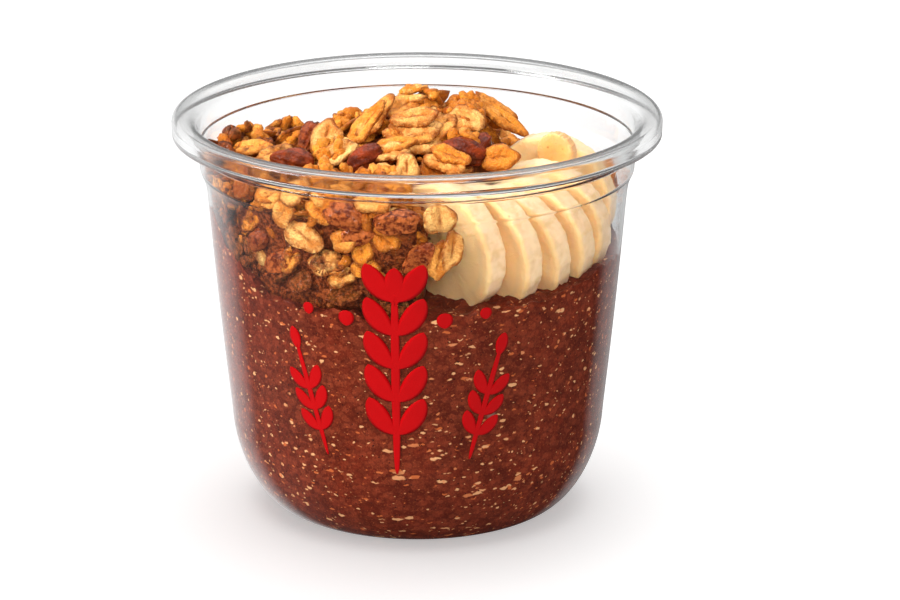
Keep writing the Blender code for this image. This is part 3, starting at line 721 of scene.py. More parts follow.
def ink_finish(colours):
    """Screen-printed ink: flat red, slightly uneven in tone and gloss."""
    made = material("printed_ink")
    place = made.place()
    base = tuple(colours.ink)
    colour = made.mix(made.noise(place, 6.0, 3.0), shaded(base, 0.88), shaded(base, 1.1))
    rough = made.ramp(made.noise(place, 1.5), 0.3, 0.7, 0.35, 0.5)
    normal = made.bump(made.noise(place, 0.6, 2.0), 0.02, 0.4)
    return made.finished(made.principled(colour, rough, normal, Specular_IOR_Level=0.08))


def cup_points(wall):
    """The cup's closed profile turned about its axis: inside and flange out, then the same line back."""
    flange = flange_line(wall)
    under = moved_in(np.vstack([[(NECK_RADIUS - wall, NECK_HEIGHT)], flange]), -wall)[1:]
    profile = np.vstack([wall_line(wall), flange, under[::-1], wall_line(0.0)[::-1]])
    turn = np.linspace(0, 2 * np.pi, CUP_COLUMNS, endpoint=False)
    radius, height = profile[1:-1, :1], profile[1:-1, 1:]
    rings = xyz(radius * np.sin(turn), -radius * np.cos(turn), height)
    return skin((0, 0, profile[0, 1]), rings, (0, 0, profile[-1, 1]))


def flipped(faces):
    """The faces turned to look the other way."""
    return [group[:, ::-1] for group in faces]


def oats_points(columns, side_rows, top_rows):
    """The oats: up the wall's inside by length along it, then over the top by share of the way in."""
    azimuth = np.arange(columns) * 360 / columns - 180
    line = wall_line(INSIDE - OATS_INTO_WALL)
    length = np.concatenate([[0], np.cumsum(np.linalg.norm(np.diff(line, axis=0), axis=1))])
    wall_height = oats_wall_height(azimuth)
    side = line[4:]
    top_length = np.interp(wall_height, side[:, 1], length[4:])
    share = (np.arange(side_rows) + 1)[:, None] / side_rows
    along = share * top_length
    radius = np.interp(along, length, line[:, 0])
    height = np.interp(along, length, line[:, 1])
    inward = np.cos(np.linspace(0, np.pi / 2, top_rows + 1)[1:-1])[:, None]
    top_radius = inward * np.interp(wall_height, side[:, 1], side[:, 0])
    top_height = oats_height(azimuth[None], inward)
    radius, height = np.vstack([radius, top_radius]), np.vstack([height, top_height])
    points = xyz(*at_azimuth(azimuth[None], radius), height)
    on_top = np.arange(len(radius)) >= side_rows
    relief = 0.45 * waves(points, 5.0, 31) + 0.35 * waves(points, 2.2, 32)
    points[..., 2] += np.where(on_top[:, None], relief, 0.0)
    return skin((0, 0, line[0, 1]), points, (0, 0, OATS_CENTRE_HEIGHT))


def core_reach(azimuth):
    """How far out the heap's core goes, as a share of the way to the wall: less beside the banana."""
    beside = np.interp(azimuth, [-180, 0, 9, 96, 106, 180], [0, 0, 1, 1, 0, 0])
    return 1 - beside * (1 - CORE_RADIUS_BY_BANANA / radius_inside(70.0, 0.9))


def core_points(columns, inset):
    """The heap's core: its foot in the oats, its side along the wall and its top under the loose pieces."""
    azimuth = np.arange(columns) * 360 / columns - 180
    reach = core_reach(azimuth)
    foot = oats_height(azimuth, reach) - HEAP_FOOT_SINKS
    x, y = at_azimuth(azimuth, reach * HEAP_RADIUS)
    edge = np.maximum(heap_height(x, y) - inset, foot + 4)
    rings = []
    for share in np.linspace(0.3, 1, CORE_FOOT_ROWS):
        out = share * reach
        x, y = at_azimuth(azimuth, out * (radius_inside(foot, INSIDE) - 0.5 * inset))
        rings.append(xyz(x, y, oats_height(azimuth, out) - HEAP_FOOT_SINKS))
    for share in np.linspace(0.12, 1, CORE_SIDE_ROWS):
        height = foot + (edge - foot) * share
        x, y = at_azimuth(azimuth, reach * (radius_inside(height, INSIDE) - 0.5 * inset))
        rings.append(xyz(x, y, height))
    for share in np.cos(np.linspace(0, np.pi / 2, 16))[1:-1]:
        x, y = at_azimuth(azimuth, share * reach * HEAP_RADIUS)
        rings.append(xyz(x, y, heap_height(x, y) - inset))
    points = np.array(rings)
    relief = 0.7 * waves(points, 7.0, 41) + 0.4 * waves(points, 3.0, 42)
    outward = points * np.array([1, 1, 0])
    outward /= np.maximum(np.linalg.norm(outward, axis=-1, keepdims=True), 1)
    on_top = (np.arange(len(points)) >= CORE_FOOT_ROWS + CORE_SIDE_ROWS)[:, None]
    points[..., 2] += np.where(on_top, relief, 0)
    points -= outward * np.where(on_top, 0, np.abs(relief))[..., None]
    first = (0, 0, OATS_CENTRE_HEIGHT - HEAP_FOOT_SINKS)
    last = (0, 0, float(heap_height(0.0, 0.0)) - inset)
    return skin(first, points, last)


def kept_in_cup(points):
    """The points, brought in to the wall's inside where past it, and eased under a top by tanh."""
    radius = np.hypot(points[..., 0], points[..., 1])
    room = radius_inside(points[..., 2], INSIDE) - WALL_CLEARANCE
    above = points[..., 2] > NECK_HEIGHT
    scale = np.where(above, 1.0, np.minimum(1.0, room / np.maximum(radius, 1e-6)))
    kept = points.copy()
    kept[..., :2] *= scale[..., None]
    left = CONTENTS_TOP - CONTENTS_TOP_SOFTENS
    over = np.maximum(kept[..., 2] - CONTENTS_TOP_SOFTENS, 0)
    kept[..., 2] += left * np.tanh(over / left) - over
    return kept


def laid_axes(normals, spins):
    """Rows of local x, y and z directions for shapes laid on normals and spun about them."""
    aside = np.where(np.abs(normals[:, 2:]) < 0.9, [[0.0, 0.0, 1.0]], [[1.0, 0.0, 0.0]])
    first = unit(np.cross(normals, aside))
    second = np.cross(normals, first)
    cosine, sine = np.cos(spins)[:, None], np.sin(spins)[:, None]
    return np.stack([first * cosine + second * sine, second * cosine - first * sine, normals], axis=1)


def placed(shapes, axes, centres):
    """Each shape turned onto its own axes and moved to its centre."""
    return np.einsum("nvi,nij->nvj", shapes, axes) + centres[:, None]


# Rings of a flake, as a share of the way out and 1 on top, 0 at the rim and -1 below
FLAKE_ROWS = ((0.5, 1), (0.86, 1), (1.0, 0), (0.84, -1), (0.45, -1))
LARGE_FLAKE_ROWS = (
    *((0.25, 1), (0.5, 1), (0.7, 1), (0.86, 1), (0.96, 1)),
    *((1.0, 0), (0.95, -1), (0.8, -1), (0.5, -1)),
)


def flake_shapes(sizes, rng, sides=13, rows=FLAKE_ROWS):
    """Oat flakes as closed discs.

    The outline is an ellipse whose radius wavers with two, three and five waves round it. The
    thickness falls to the rim as the square root of 1 - share^4, the top has a crease along its
    length, and the whole is bent by x^2, y^2 and xy terms and wrinkled by two sines.
    """
    count = len(sizes)
    turn = 2 * np.pi * np.arange(sides) / sides
    share = np.concatenate([[0], np.repeat([row[0] for row in rows], sides), [0]])
    face = np.concatenate([[1], np.repeat([row[1] for row in rows], sides), [-1]])
    angle = np.concatenate([[0], np.tile(turn, len(rows)), [0]])
    phase = rng.uniform(0, 2 * np.pi, (3, count, 1))
    waver = 0.07 * np.sin(2 * angle + phase[0]) + 0.08 * np.sin(3 * angle + phase[1])
    waver = waver + 0.06 * np.sin(5 * angle + phase[2])
    x = sizes[:, :1] / 2 * share * np.cos(angle) * (1 + waver)
    y = sizes[:, 1:2] / 2 * share * np.sin(angle) * (1 + waver)
    half = sizes[:, 2:] / 2 * np.sqrt(np.maximum(1 - share**4, 0))
    groove = np.exp(-((y / (0.11 * sizes[:, 1:2])) ** 2)) * (1 - share**2) * (face > 0)
    crease = 0.45 * sizes[:, 2:] * groove
    bend = rng.normal(0, 1, (3, count, 1)) * np.array([0.016, 0.045, 0.028])[:, None, None]
    middle = bend[0] * x**2 + bend[1] * y**2 + bend[2] * x * y
    wrinkle = 0.15 * np.sin(2 * np.pi * x / 1.9 + 0.4 * y + phase[1])
    wrinkle = wrinkle + 0.13 * np.sin(2.6 * y + 1.9 * x + phase[2])
    middle = middle + wrinkle * (1 - 0.5 * share)
    shapes = xyz(x, y, middle + face * half - crease)
    # The edge value is the share out squared, or 0.9 of the crease where that is more, so the finish darkens
    # the crease as painted shade.
    return shapes, np.maximum(share**2, 0.9 * groove), flipped(closed_faces(len(rows), sides))


def lump_shapes(sizes, rng, columns, rows, rough, wrinkles=0.0):
    """Rounded lumps: ellipsoids whose radius varies by sines of its direction and by wrinkles."""
    count = len(sizes)
    lift = np.linspace(0, np.pi, rows + 2)[1:-1]
    turn = 2 * np.pi * np.arange(columns) / columns
    along = np.concatenate([[1], np.repeat(np.cos(lift), columns), [-1]])
    out = np.concatenate([[0], np.repeat(np.sin(lift), columns), [0]])
    angle = np.concatenate([[0], np.tile(turn, rows), [0]])
    direction = xyz(along, out * np.cos(angle), -out * np.sin(angle))
    waving = rng.normal(0, 2.2, (4, count, 3))
    phase = rng.uniform(0, 2 * np.pi, (5, count, 1))
    growth = sum(np.sin(direction @ waving[k].T + phase[k].T).T for k in range(4)) / 2
    ridge = np.abs(np.sin(4 * angle + 1.6 * along + phase[4])) * out
    growth = 1 + rough * growth - wrinkles * ridge
    shapes = direction * growth[..., None] * sizes[:, None] / 2
    return shapes, np.broadcast_to(0.5 * out, shapes.shape[:2]), closed_faces(rows, columns)


def jittered_grid(width, height, spacing, rng):
    """Points of a triangular grid, each moved at random by up to 0.35 of the spacing."""
    rows = int(height / (spacing * 0.866)) + 1
    columns = int(width / spacing) + 1
    row, column = np.meshgrid(np.arange(rows), np.arange(columns), indexing="ij")
    u = (column + 0.5 * (row % 2)) * spacing
    v = row * spacing * 0.866
    grid = np.column_stack([u.ravel(), v.ravel()])
    return grid + rng.uniform(-0.35, 0.35, grid.shape) * spacing


def banana_axes(name):
    """A slice's centre and its axes: outward, upward and the way that its left face looks."""
    azimuth, turn, lean, radius, height = BANANA_PLACES[name]
    x, y = at_azimuth(azimuth, radius)
    turn, lean = math.radians(turn), math.radians(lean)
    left = np.array([-math.cos(turn), -math.sin(turn), 0])
    outward = np.array([math.sin(turn), -math.cos(turn), 0])
    normal = left * math.cos(lean) + np.array([0, 0, math.sin(lean)])
    return np.array([x, y, height]), np.stack([outward, np.cross(normal, outward), normal])


def banana_size(name, sizes):
    if name == "banana_end":
        return END_PIECE_RADIUS, END_PIECE_THICKNESS
    return sizes.banana_radius / MM, sizes.banana_thickness / MM


def clear_of_banana(centres, margin, sizes):
    """Which centres keep a margin from every banana slice, taken as a flat cylinder."""
    clear = np.ones(len(centres), bool)
    for name in BANANA_PLACES:
        centre, axes = banana_axes(name)
        radius, thickness = banana_size(name, sizes)
        local = (centres - centre) @ axes.T
        beyond_rim = np.hypot(local[:, 0], local[:, 1]) - radius
        beyond_face = np.abs(local[:, 2]) - thickness / 2
        clear &= np.maximum(beyond_rim, beyond_face) > margin
    return clear


def facing_axes(table):
    """Axes of the chosen pieces: the normal faces the front, leant up and right, and the length is turned."""
    normals = unit(xyz(table[:, 7], table[:, 6], 1.0) @ FACING)
    turn = np.radians(table[:, 5])
    ahead = xyz(np.cos(turn), np.sin(turn), 0.0) @ FACING
    ahead = unit(ahead - (ahead * normals).sum(axis=1, keepdims=True) * normals)
    return np.stack([ahead, np.cross(normals, ahead), normals], axis=1)


def clear_of_chosen(centres):
    """Which centres don't cover a chosen piece as seen from the front and slightly above."""
    clear = np.ones(len(centres), bool)
    for piece in (*CHOSEN_FLAKES, *CHOSEN_FRUIT):
        local = (centres - np.array(piece[:3])) @ FACING.T
        beside = np.hypot(local[:, 0], local[:, 1]) > 0.42 * piece[3] + 1.2
        clear &= beside | (local[:, 2] < -1.2) | (local[:, 2] > 9)
    return clear


def heap_spots(spacing, rng, sink):
    """Spots on the heap's top and against the wall, and the outward normal at each."""
    x, y = (jittered_grid(90, 90, spacing, rng) - 45).T
    on_heap = np.hypot(x, y) < core_reach(azimuth_of(x, y)) * (HEAP_RADIUS + 0.3)
    x, y = x[on_heap], y[on_heap]
    top_normals = heap_normals(x, y)
    top = xyz(x, y, heap_height(x, y)) - top_normals * sink

    along, up = jittered_grid(2 * np.pi * STRIP_RADIUS, STRIP_HEIGHT, spacing, rng).T
    azimuth, height = np.degrees(along / STRIP_RADIUS) - 180, STRIP_FOOT + up
    x, y = at_azimuth(azimuth, HEAP_RADIUS)
    ceiling = np.minimum(heap_height(x, y), HEAP_PLATEAU + 0.5)
    by_wall = (height > oats_wall_height(azimuth) + 0.4) & (height < ceiling) & (core_reach(azimuth) > 0.9)
    azimuth, height = azimuth[by_wall], height[by_wall]
    side = xyz(*at_azimuth(azimuth, radius_inside(height, INSIDE) - 0.8 - sink), height)
    side_normals = unit(side * np.array([1, 1, 0]))
    by_wall = np.arange(len(top) + len(side)) >= len(top)
    return np.vstack([top, side]), np.vstack([top_normals, side_normals]), by_wall


def tilted(normals, degrees, rng):
    """The normals tipped over at random, most by less than this many degrees."""
    return unit(normals + rng.normal(0, math.tan(math.radians(degrees)) / 1.4, normals.shape))


def stain_at(centres, rng):
    """How far chocolate has crept into a piece: most close above the oats, more at the left."""
    azimuth = azimuth_of(centres[:, 0], centres[:, 1])
    reach = np.clip(np.hypot(centres[:, 0], centres[:, 1]) / HEAP_RADIUS, 0, 1)
    above = centres[:, 2] - oats_height(azimuth, reach)
    left = np.clip(-azimuth / 70, 0, 1) * (azimuth > -150)
    return np.clip(1.15 - above / (12.5 + 10 * left), 0, 1) + rng.uniform(-0.5, 0.3, len(centres))


def add_shapes(name, shapes, faces, look, **attributes):
    """One object for all the shapes of a kind, with attributes given for each shape or each point."""
    count, points_each = shapes.shape[:2]
    for label, values in attributes.items():
        each = values[:, None] if values.ndim == 1 else values
        attributes[label] = np.broadcast_to(each, (count, points_each)).reshape(-1)
    points = kept_in_cup(shapes).reshape(-1, 3)
    piece = new_piece(name, points, repeated(faces, count, points_each), look, attributes)
    ride_on_cup(piece, "toasted_granola")


def add_granola(name, shapes, edge, faces, tint, stain):
    look = bpy.data.materials["toasted_oats_glazed"]
    add_shapes(name, shapes, faces, look, tint=tint, edge=edge, stain=stain)


def ride_on_cup(piece, slot, *nodes):
    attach(piece, "root")
    if nodes:
        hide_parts(*nodes)


class OATS_OT_cup(bpy.types.Operator):
    """Turn the clear cup with its collar, bead and rolled flange"""

    bl_idname = "oats.cup"
    bl_label = "Cup"

    def execute(self, context):
        points, faces = cup_points(context.scene.oats_sizes.wall / MM)
        cup = new_piece("clear_cup", points, flipped(faces), clear_plastic_finish())
        ride_on_cup(cup, "clear_plastic", "cup")
        return {"FINISHED"}


class OATS_OT_oats(bpy.types.Operator):
    """Fill the cup with chocolate oats up to an uneven level"""

    bl_idname = "oats.oats"
    bl_label = "Chocolate oats"

    def execute(self, context):
        points, faces = oats_points(OATS_COLUMNS, OATS_SIDE_ROWS, OATS_TOP_ROWS)
        look = chocolate_oats_finish(context.scene.oats_colours)
        oats = new_piece("chocolate_oats_fill", points, faces, look)
        ride_on_cup(oats, "chocolate_oats", "oats")
        return {"FINISHED"}


class OATS_OT_granola(bpy.types.Operator):
    """Heap the granola: a core darkened as painted shade between the pieces, clusters of oat flakes, small
    bits and crumbs, and dried fruit
    """

    bl_idname = "oats.granola"
    bl_label = "Granola"

    def execute(self, context):
        sizes, colours = context.scene.oats_sizes, context.scene.oats_colours
        toasted_oats_finish(colours)
        rng = np.random.default_rng(sizes.seed)
        self.core()
        self.flakes(sizes, rng)
        self.chosen_flakes(sizes, rng)
        self.clusters(sizes, rng)
        self.bits(sizes, rng)
        self.fruit(sizes, colours, rng)
        return {"FINISHED"}

    def core(self):
        points, faces = core_points(CORE_COLUMNS, CORE_INSET)
        count = len(points)
        # The core takes the lowest tint, dark rims and extra chocolate stain, so that it shows dark in the
        # gaps between the loose pieces: painted shade there, with some real stain near the oats.
        stain = stain_at(points, np.random.default_rng(5)) + 0.7
        attributes = {"tint": np.full(count, 0.0), "edge": np.full(count, 0.9), "stain": stain}
        look = bpy.data.materials["toasted_oats_glazed"]
        core = new_piece("granola_core", points, faces, look, attributes)
        ride_on_cup(core, "toasted_granola", "granola")

    def flakes(self, sizes, rng):
        """Clusters of four flakes that lie roughly on each other."""
        spots, normals, by_wall = heap_spots(sizes.cluster_spacing / MM, rng, 1.4)
        lean = np.where(by_wall, 36, 40)
        lean = np.tan(np.radians(lean))[:, None] / 1.4
        cluster_normals = unit(normals + rng.normal(0, 1, normals.shape) * lean)
        each = FLAKES_TOGETHER
        centres = np.repeat(spots, each, axis=0)
        layer = np.tile(np.arange(each) - (each - 1) / 2, len(spots))[:, None]
        flake_normals = tilted(np.repeat(cluster_normals, each, axis=0), 16, rng)
        centres = centres + rng.uniform(-2.6, 2.6, centres.shape) + layer * 0.8 * flake_normals
        sunk = np.where(by_wall, rng.uniform(0, 3.4, len(spots)), rng.uniform(-0.6, 1.6, len(spots)))
        centres = centres - np.repeat(sunk[:, None] * normals, each, axis=0)
        keep = clear_of_banana(centres, 2.4, sizes) & clear_of_chosen(centres)
        centres, flake_normals = centres[keep], flake_normals[keep]
        count = len(centres)
        grow = rng.choice([0.5, 0.7, 0.85, 1.0, 1.1], count, p=[0.2, 0.2, 0.2, 0.25, 0.15])[:, None]
        flake_sizes = grow * rng.uniform(0.88, 1.12, (count, 3))
        flake_sizes *= np.array([sizes.flake_length, sizes.flake_width, sizes.flake_thickness]) / MM
        shapes, edge, faces = flake_shapes(flake_sizes, rng)
        axes = laid_axes(flake_normals, rng.uniform(0, 2 * np.pi, count))
        shapes = placed(shapes, axes, centres)
        tint = np.clip(rng.normal(0.46, 0.30, count), 0, 1)
        add_granola("granola_flakes", shapes, edge, faces, tint, stain_at(centres, rng))

    def chosen_flakes(self, sizes, rng):
        """The larger flakes at their own places, with a finer mesh."""
        table = np.array(CHOSEN_FLAKES)
        thickness = np.full((len(table), 1), 1.15 * sizes.flake_thickness / MM)
        flake_sizes = np.hstack([table[:, 3:5], thickness])
        shapes, edge, faces = flake_shapes(flake_sizes, rng, 30, LARGE_FLAKE_ROWS)
        shapes = placed(shapes, facing_axes(table), table[:, :3])
        stain = np.clip(stain_at(table[:, :3], rng) - 0.25, 0, 0.8)
        add_granola("granola_large_flakes", shapes, edge, faces, table[:, 8], stain)

    def clusters(self, sizes, rng):
        """Nubbly clusters: small rounded bits packed over lumps that sit on the heap."""
        spots, normals, _ = heap_spots(BIT_CLUSTERS_APART, rng, -0.3)
        keep = clear_of_banana(spots, 3.6, sizes) & clear_of_chosen(spots)
        spots, normals = spots[keep], normals[keep]
        each = BITS_TOGETHER
        outward = tilted(np.repeat(normals, each, axis=0), 75, rng)
        lump = np.repeat(rng.uniform(2.2, 4.0, (len(spots), 1)), each, axis=0) * np.array([1.25, 1.25, 0.85])
        centres = np.repeat(spots, each, axis=0) + outward * lump * rng.uniform(0.75, 1.0, (len(outward), 1))
        fitting = clear_of_banana(centres, 1.2, sizes)
        centres, outward = centres[fitting], outward[fitting]
        tone = np.repeat(rng.normal(0.5, 0.2, len(spots)), each)[fitting]
        self.small_bits("granola_clusters", centres, outward, (1.7, 3.1), tone, rng)

    def bits(self, sizes, rng):
        """Small rounded bits between the flakes, given a dark tone as painted shade in the gaps."""
        spots, normals, by_wall = heap_spots(BITS_APART, rng, 2.0)
        centres = spots + rng.uniform(-0.9, 1.1, (len(spots), 1)) * normals
        centres = centres + rng.uniform(-1, 1, spots.shape)
        keep = clear_of_banana(centres, 1.3, sizes) & (~by_wall | (rng.random(len(centres)) < 0.5))
        # A dark tone: painted shade in the gaps between the flakes, where the bits lie.
        tone = np.full(keep.sum(), 0.12)
        self.small_bits("granola_bits", centres[keep], normals[keep], (1.3, 3.0), tone, rng)

    def small_bits(self, name, centres, normals, span, tone, rng):
        count = len(centres)
        bit_sizes = rng.uniform(*span, (count, 1)) * np.array([1.3, 1.0, 0.8])
        bit_sizes = bit_sizes * rng.uniform(0.8, 1.2, (count, 3))
        shapes, edge, faces = lump_shapes(bit_sizes, rng, 8, 4, 0.2)
        axes = laid_axes(tilted(normals, 45, rng), rng.uniform(0, 2 * np.pi, count))
        shapes = placed(shapes, axes, centres)
        tint = np.clip(tone + rng.normal(0, 0.18, count), 0, 1)
        add_granola(name, shapes, edge, faces, tint, stain_at(centres, rng))

    def fruit(self, sizes, colours, rng):
        """Dried fruit half sunk among the flakes."""
        table = np.array(CHOSEN_FRUIT)
        fruit_sizes = np.hstack([table[:, 3:5], 0.8 * table[:, 4:5]])
        shapes, _, faces = lump_shapes(fruit_sizes, rng, 36, 19, 0.12, 0.16)
        shapes = placed(shapes, facing_axes(table), table[:, :3])
        add_shapes("dried_fruit", shapes, faces, dried_fruit_finish(colours), nut=table[:, 8])


def slice_points(radius, thickness, phase):
    """A banana slice: cut face, rounded edge, band, rounded edge and cut face, as rings about its axis.

    The outline is a circle out of round by a sine of three turns, with fine ridges on the band. The
    faces are waved by the knife and dip slightly in the middle.
    """
    edge = min(0.9, 0.3 * thickness)
    bend = np.radians([90, 65, 40, 18, 0])
    inner, straight = radius - edge, thickness / 2 - edge
    face = [(share * inner, thickness / 2) for share in np.linspace(0, 1, 15)[1:-1]]
    corner = [(inner + edge * math.cos(t), straight + edge * math.sin(t)) for t in bend]
    half = face + corner
    band = [(radius, z) for z in np.linspace(thickness / 2 - edge, edge - thickness / 2, 9)[1:-1]]
    profile = np.array(half + band + [(r, -z) for r, z in half[::-1]])
    turn = 2 * np.pi * np.arange(SLICE_COLUMNS) / SLICE_COLUMNS
    out = 1 - BANANA_OUT_OF_ROUND * (0.5 + 0.5 * np.sin(3 * turn + phase))
    reach = profile[:, :1] / radius
    ridges = 0.09 * np.sin(17 * turn + phase) + 0.06 * np.sin(31 * turn + 2 * phase)
    ridges = (ridges + 0.05 * np.sin(53 * turn)) * np.clip((reach - 0.85) / 0.15, 0, 1) ** 2
    ring_radius = profile[:, :1] * out + ridges - 0.12 * (reach > 0.95)
    points = xyz(ring_radius * np.cos(turn), ring_radius * np.sin(turn), profile[:, 1:])
    z = profile[:, 1:]
    side = np.sign(z) * np.clip(np.abs(z) / (thickness / 2), 0, 1) ** 4
    knife = 0.10 * waves(points * np.array([1, 1, 0]), 9.0, 60 + int(phase)) + 0.05 * waves(points, 3.0, 70)
    points[..., 2] += side * (knife - 0.12 - 0.25 * np.exp(-((ring_radius / (0.3 * radius)) ** 2)))
    return skin((0, 0, thickness / 2 - 0.35), points, (0, 0, 0.35 - thickness / 2))


class OATS_OT_banana(bpy.types.Operator):
    """Stand the banana slices in a fan along the right of the wall"""

    bl_idname = "oats.banana"
    bl_label = "Banana slices"

    def execute(self, context):
        sizes = context.scene.oats_sizes
        look = banana_finish(context.scene.oats_colours)
        for phase, name in enumerate(BANANA_PLACES):
            radius, thickness = banana_size(name, sizes)
            local, faces = slice_points(radius, thickness, phase)
            centre, axes = banana_axes(name)
            points = kept_in_cup(local @ axes + centre)
            is_end = name == "banana_end"
            attributes = {
                "slice_place": local / radius * (END_PIECE_CORE if is_end else 1.0),
                "ripe": np.full(len(local), float(is_end)),
            }
            piece = new_piece(f"{name}_flesh", points, flipped(faces), look, attributes)
            ride_on_cup(piece, "banana_flesh", name)
        return {"FINISHED"}


# The print: its radius, how proud it lies, and each sprig's foot, height, lean, size and pairs of leaves
PRINT_RADIUS = 40.0
PRINT_LIFT = 0.05
STROKE_ROWS = 16
STROKE_ACROSS = 7
SPRIGS = ((-4.0, 17.0, 0, 1.0, 5), (-19.0, 20.0, -14, 0.62, 3), (11.0, 20.0, 14, 0.62, 3))
DOTS = ((-13.5, 50.0, 3.2), (5.5, 50.0, 3.2), (-21.5, 51.0, 2.4), (13.5, 51.0, 2.4))


def wall_points(along, height, lift):
    """Points on the outside of the cup: along is the length round it at the print's radius."""
    radius = radius_inside(height, 0.0) + lift
    return xyz(*at_azimuth(np.degrees(along / PRINT_RADIUS), radius), height)


def printed_strokes(strokes):
    """Thin closed ribbons on the wall.

    Each runs from its start along a direction that turns by its bend, with a half width that is its
    width times (4 u (1 - u)) to its taper, u being the share of its length.
    """
    points = []
    u = (1 - np.cos(np.linspace(0.06, np.pi - 0.06, STROKE_ROWS))) / 2
    v = np.linspace(-1, 1, STROKE_ACROSS)
    for start, height, angle, length, bend, width, taper in strokes:
        turn = np.radians(angle + bend * u)
        ahead = np.stack([np.sin(turn), np.cos(turn)], axis=1)
        step = np.gradient(u)[:, None] * length
        path = np.cumsum(ahead * step, axis=0) + np.array([start, height])
        side = np.stack([ahead[:, 1], -ahead[:, 0]], axis=1)
        half = width / 2 * (4 * u * (1 - u)) ** taper
        flat = path[:, None] + side[:, None] * (half[:, None] * v)[..., None]
        lift = PRINT_LIFT * np.sqrt(np.maximum(1 - v**4, 0))
        over = wall_points(flat[..., 0], flat[..., 1], lift)
        under = wall_points(flat[..., 0], flat[..., 1], -lift - 0.03)[:, 1:-1][:, ::-1]
        ring = np.concatenate([over, under], axis=1)
        stroke, faces = skin(ring[0].mean(axis=0), ring, ring[-1].mean(axis=0))
        points.append(stroke)
    return np.vstack(points), repeated(faces, len(strokes), len(stroke))


def sprig_strokes():
    """Generic leaf sprigs and dots: a tall one between two short ones."""
    strokes = []
    for foot, height, lean, size, pairs in SPRIGS:
        turn = math.radians(lean)
        ahead = np.array([math.sin(turn), math.cos(turn)])
        strokes.append((foot, height, lean, 38 * size, 0, 1.5 * size + 0.3, 0.25))
        for pair in range(pairs):
            at = np.array([foot, height]) + ahead * (9 + 7 * pair) * size
            for side in (-1, 1):
                turned, bend = lean + side * 52, -side * 34
                strokes.append((at[0], at[1], turned, 9.5 * size, bend, 4.4 * size, 0.75))
        tip = np.array([foot, height]) + ahead * 36 * size
        strokes.append((tip[0], tip[1], lean, 8.0 * size, 0, 4.2 * size, 0.75))
    for along, height, size in DOTS:
        strokes.append((along, height - size / 2, 0, size, 0, size, 0.5))
    return strokes


class OATS_OT_print(bpy.types.Operator):
    """Print red leaf sprigs on the front of the cup"""

    bl_idname = "oats.print"
    bl_label = "Printed sprigs"

    def execute(self, context):
        points, faces = printed_strokes(sprig_strokes())
        print_piece = new_piece("printed_sprigs", points, faces, ink_finish(context.scene.oats_colours))
        ride_on_cup(print_piece, "clear_plastic")
        return {"FINISHED"}


# Lamps: name, place and size in metres, power in watts
LAMPS = (
    ("key", (-0.04, -0.02, 1.6), (1.3, 1.3), 12.5),
    ("left_fill", (-1.15, -0.45, 0.70), (0.6, 0.6), 27.0),
    ("front_fill", (0.25, -1.3, 0.75), (0.8, 0.5), 17.5),
)
LAMPS_AIM = (0, 0, 0.04)
# The camera, in metres and radians, worked out from the photo's rim, walls and base
CAMERA_LENS = 171.6
CAMERA_PLACE = (0.006564, -0.827406, 0.303805)
CAMERA_LOOKS_DOWN = 0.307
BOUNCES = 32
GLOSSY_BOUNCES = 24
# Light from the world: a direction, and the brightness from one dot product with it to another
SWEEPS = (
    ((0, 0, 1), -0.1, 0.7, 0.02, 0.45),
    ((-0.45, 0.85, -0.28), 0.84, 0.985, 0.0, 0.9),
    ((-0.86, 0.5, -0.1), 0.3, 0.95, 0.0, 0.22),
    ((0.45, 0.85, -0.28), 0.90, 0.99, 0.0, 0.5),
    ((0, 0.6, 0.8), 0.80, 0.97, 0.0, 0.9),
)


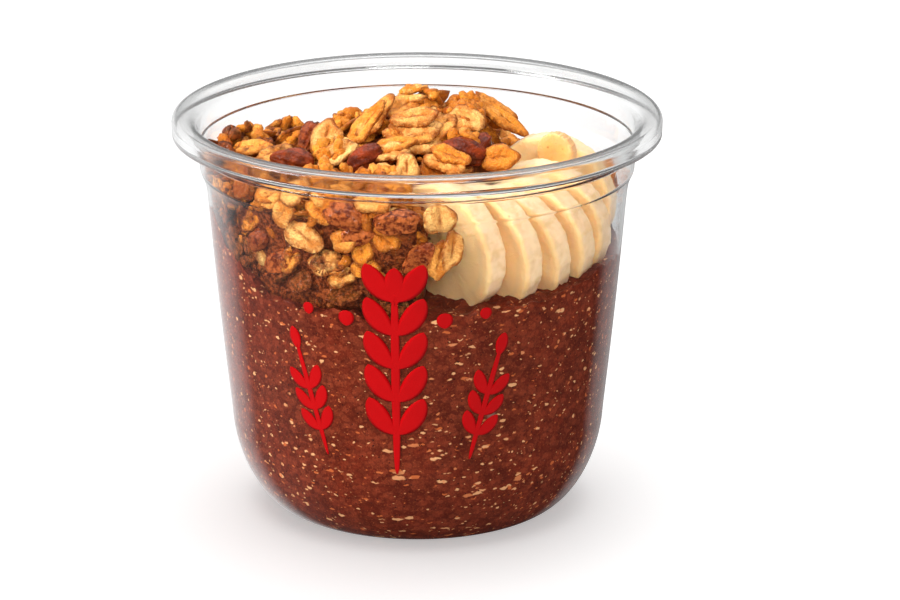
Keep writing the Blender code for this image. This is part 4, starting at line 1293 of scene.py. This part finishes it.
class OATS_OT_stage(bpy.types.Operator):
    """Set the pale floor, the soft studio light and the camera"""

    bl_idname = "oats.stage"
    bl_label = "Stage"

    def execute(self, context):
        self.floor()
        self.lights(context.scene)
        self.camera(context.scene)
        return {"FINISHED"}

    def floor(self):
        """A pale floor that glows a little to stay evenly bright, and a painted reflection for the clear wall
        to mirror: a glow, dim in front of the cup and bright behind it.
        """
        made = material("pale_floor")
        place = made.place()
        shade = made.mix(made.noise(place, 60.0, 3.0), (0.79, 0.785, 0.78), (0.81, 0.805, 0.80))
        lit = made.node(
            "ShaderNodeBsdfPrincipled",
            Base_Color=shade,
            Roughness=0.6,
            Specular_IOR_Level=0.1,
            Emission_Color=(1, 1, 1, 1),
            Emission_Strength=0.42,
        )
        # Rays that have been mirrored see a painted reflection in place of the floor: a glow, dim in front of
        # the cup and bright behind it.
        path = made.node("ShaderNodeLightPath")
        mirrored = made.math("GREATER_THAN", path.outputs["Glossy Depth"], 0.5)
        behind = made.node("ShaderNodeSeparateXYZ", Vector=place).outputs[1]
        painted_reflection_glow = made.node("ShaderNodeEmission", Strength=made.ramp(behind, 0.0, 0.25, 0.03, 0.75))
        look = made.finished(made.blend(mirrored, lit, painted_reflection_glow))
        corners = np.array([(-1, -1, 0), (1, -1, 0), (1, 1, 0), (-1, 1, 0)]) * 4000.0
        floor = new_piece("floor", corners, [np.array([[0, 1, 2, 3]])], look)
        floor.visible_glossy = False

    def lights(self, scene):
        """A key lamp above, and fills that light everything but the floor, so that they cast no shadow."""
        lit = bpy.data.collections.new("lit_by_fills")
        for piece in scene.collection.objects:
            if piece.type == "MESH" and piece.name != "floor":
                lit.objects.link(piece)
        for name, place, size, power in LAMPS:
            data = bpy.data.lights.new(name, "AREA")
            data.shape = "RECTANGLE"
            data.size, data.size_y = size
            data.energy = power
            lamp = bpy.data.objects.new(name, data)
            lamp.location = place
            aim = np.array(LAMPS_AIM) - np.array(place)
            yaw = math.atan2(aim[0], -aim[1])
            pitch = math.atan2(math.hypot(aim[0], aim[1]), -aim[2])
            lamp.rotation_euler = (pitch, 0, yaw + math.pi)
            if name != "key":
                lamp.visible_glossy = False
                lamp.light_linking.receiver_collection = lit
            scene.collection.objects.link(lamp)
        scene.world = self.surroundings()

    def surroundings(self):
        """A grey studio, brighter above, with pale sweeps at the back that the clear wall reflects."""
        made = Finish(bpy.data.worlds.new("soft_studio"), "ShaderNodeOutputWorld")
        place = made.node("ShaderNodeTexCoord").outputs["Generated"]
        total = None
        for direction, low, high, start, end in SWEEPS:
            toward = made.vector("DOT_PRODUCT", place, direction)["Value"]
            part = made.ramp(toward, low, high, start, end)
            total = part if total is None else made.math("ADD", total, part)
        return made.finished(made.node("ShaderNodeBackground", Color=(1, 1, 1, 1), Strength=total))

    def camera(self, scene):
        data = bpy.data.cameras.new("camera")
        data.lens = CAMERA_LENS
        data.sensor_width = 36.0
        camera = bpy.data.objects.new("camera", data)
        camera.location = CAMERA_PLACE
        camera.rotation_euler = (math.pi / 2 - CAMERA_LOOKS_DOWN, 0, 0)
        scene.collection.objects.link(camera)
        scene.camera = camera
        scene.view_settings.view_transform = "Standard"
        scene.cycles.transparent_max_bounces = BOUNCES
        scene.cycles.max_bounces = BOUNCES
        scene.cycles.transmission_bounces = BOUNCES
        scene.cycles.glossy_bounces = GLOSSY_BOUNCES


OPERATORS = (
    OATS_OT_cup,
    OATS_OT_oats,
    OATS_OT_granola,
    OATS_OT_banana,
    OATS_OT_print,
    OATS_OT_stage,
)


class OATS_PT_panel(bpy.types.Panel):
    """Sizes, colours and the pieces of the overnight oats"""

    bl_idname = "OATS_PT_panel"
    bl_label = "Overnight oats"
    bl_space_type = "VIEW_3D"
    bl_region_type = "UI"
    bl_category = "Overnight oats"

    def draw(self, context):
        for group in (context.scene.oats_sizes, context.scene.oats_colours):
            column = self.layout.column()
            for label in group.__annotations__:
                column.prop(group, label)
        for operator in OPERATORS:
            self.layout.operator(operator.bl_idname)


CLASSES = (OATS_PG_sizes, OATS_PG_colours, *OPERATORS, OATS_PT_panel)


def register():
    for found in CLASSES:
        bpy.utils.register_class(found)
    bpy.types.Scene.oats_sizes = PointerProperty(type=OATS_PG_sizes)
    bpy.types.Scene.oats_colours = PointerProperty(type=OATS_PG_colours)


def unregister():
    del bpy.types.Scene.oats_colours
    del bpy.types.Scene.oats_sizes
    for found in reversed(CLASSES):
        bpy.utils.unregister_class(found)


def main():
    register()
    for step in ("cup", "oats", "granola", "banana", "print", "stage"):
        getattr(bpy.ops.oats, step)()


if __name__ == "__main__":
    main()
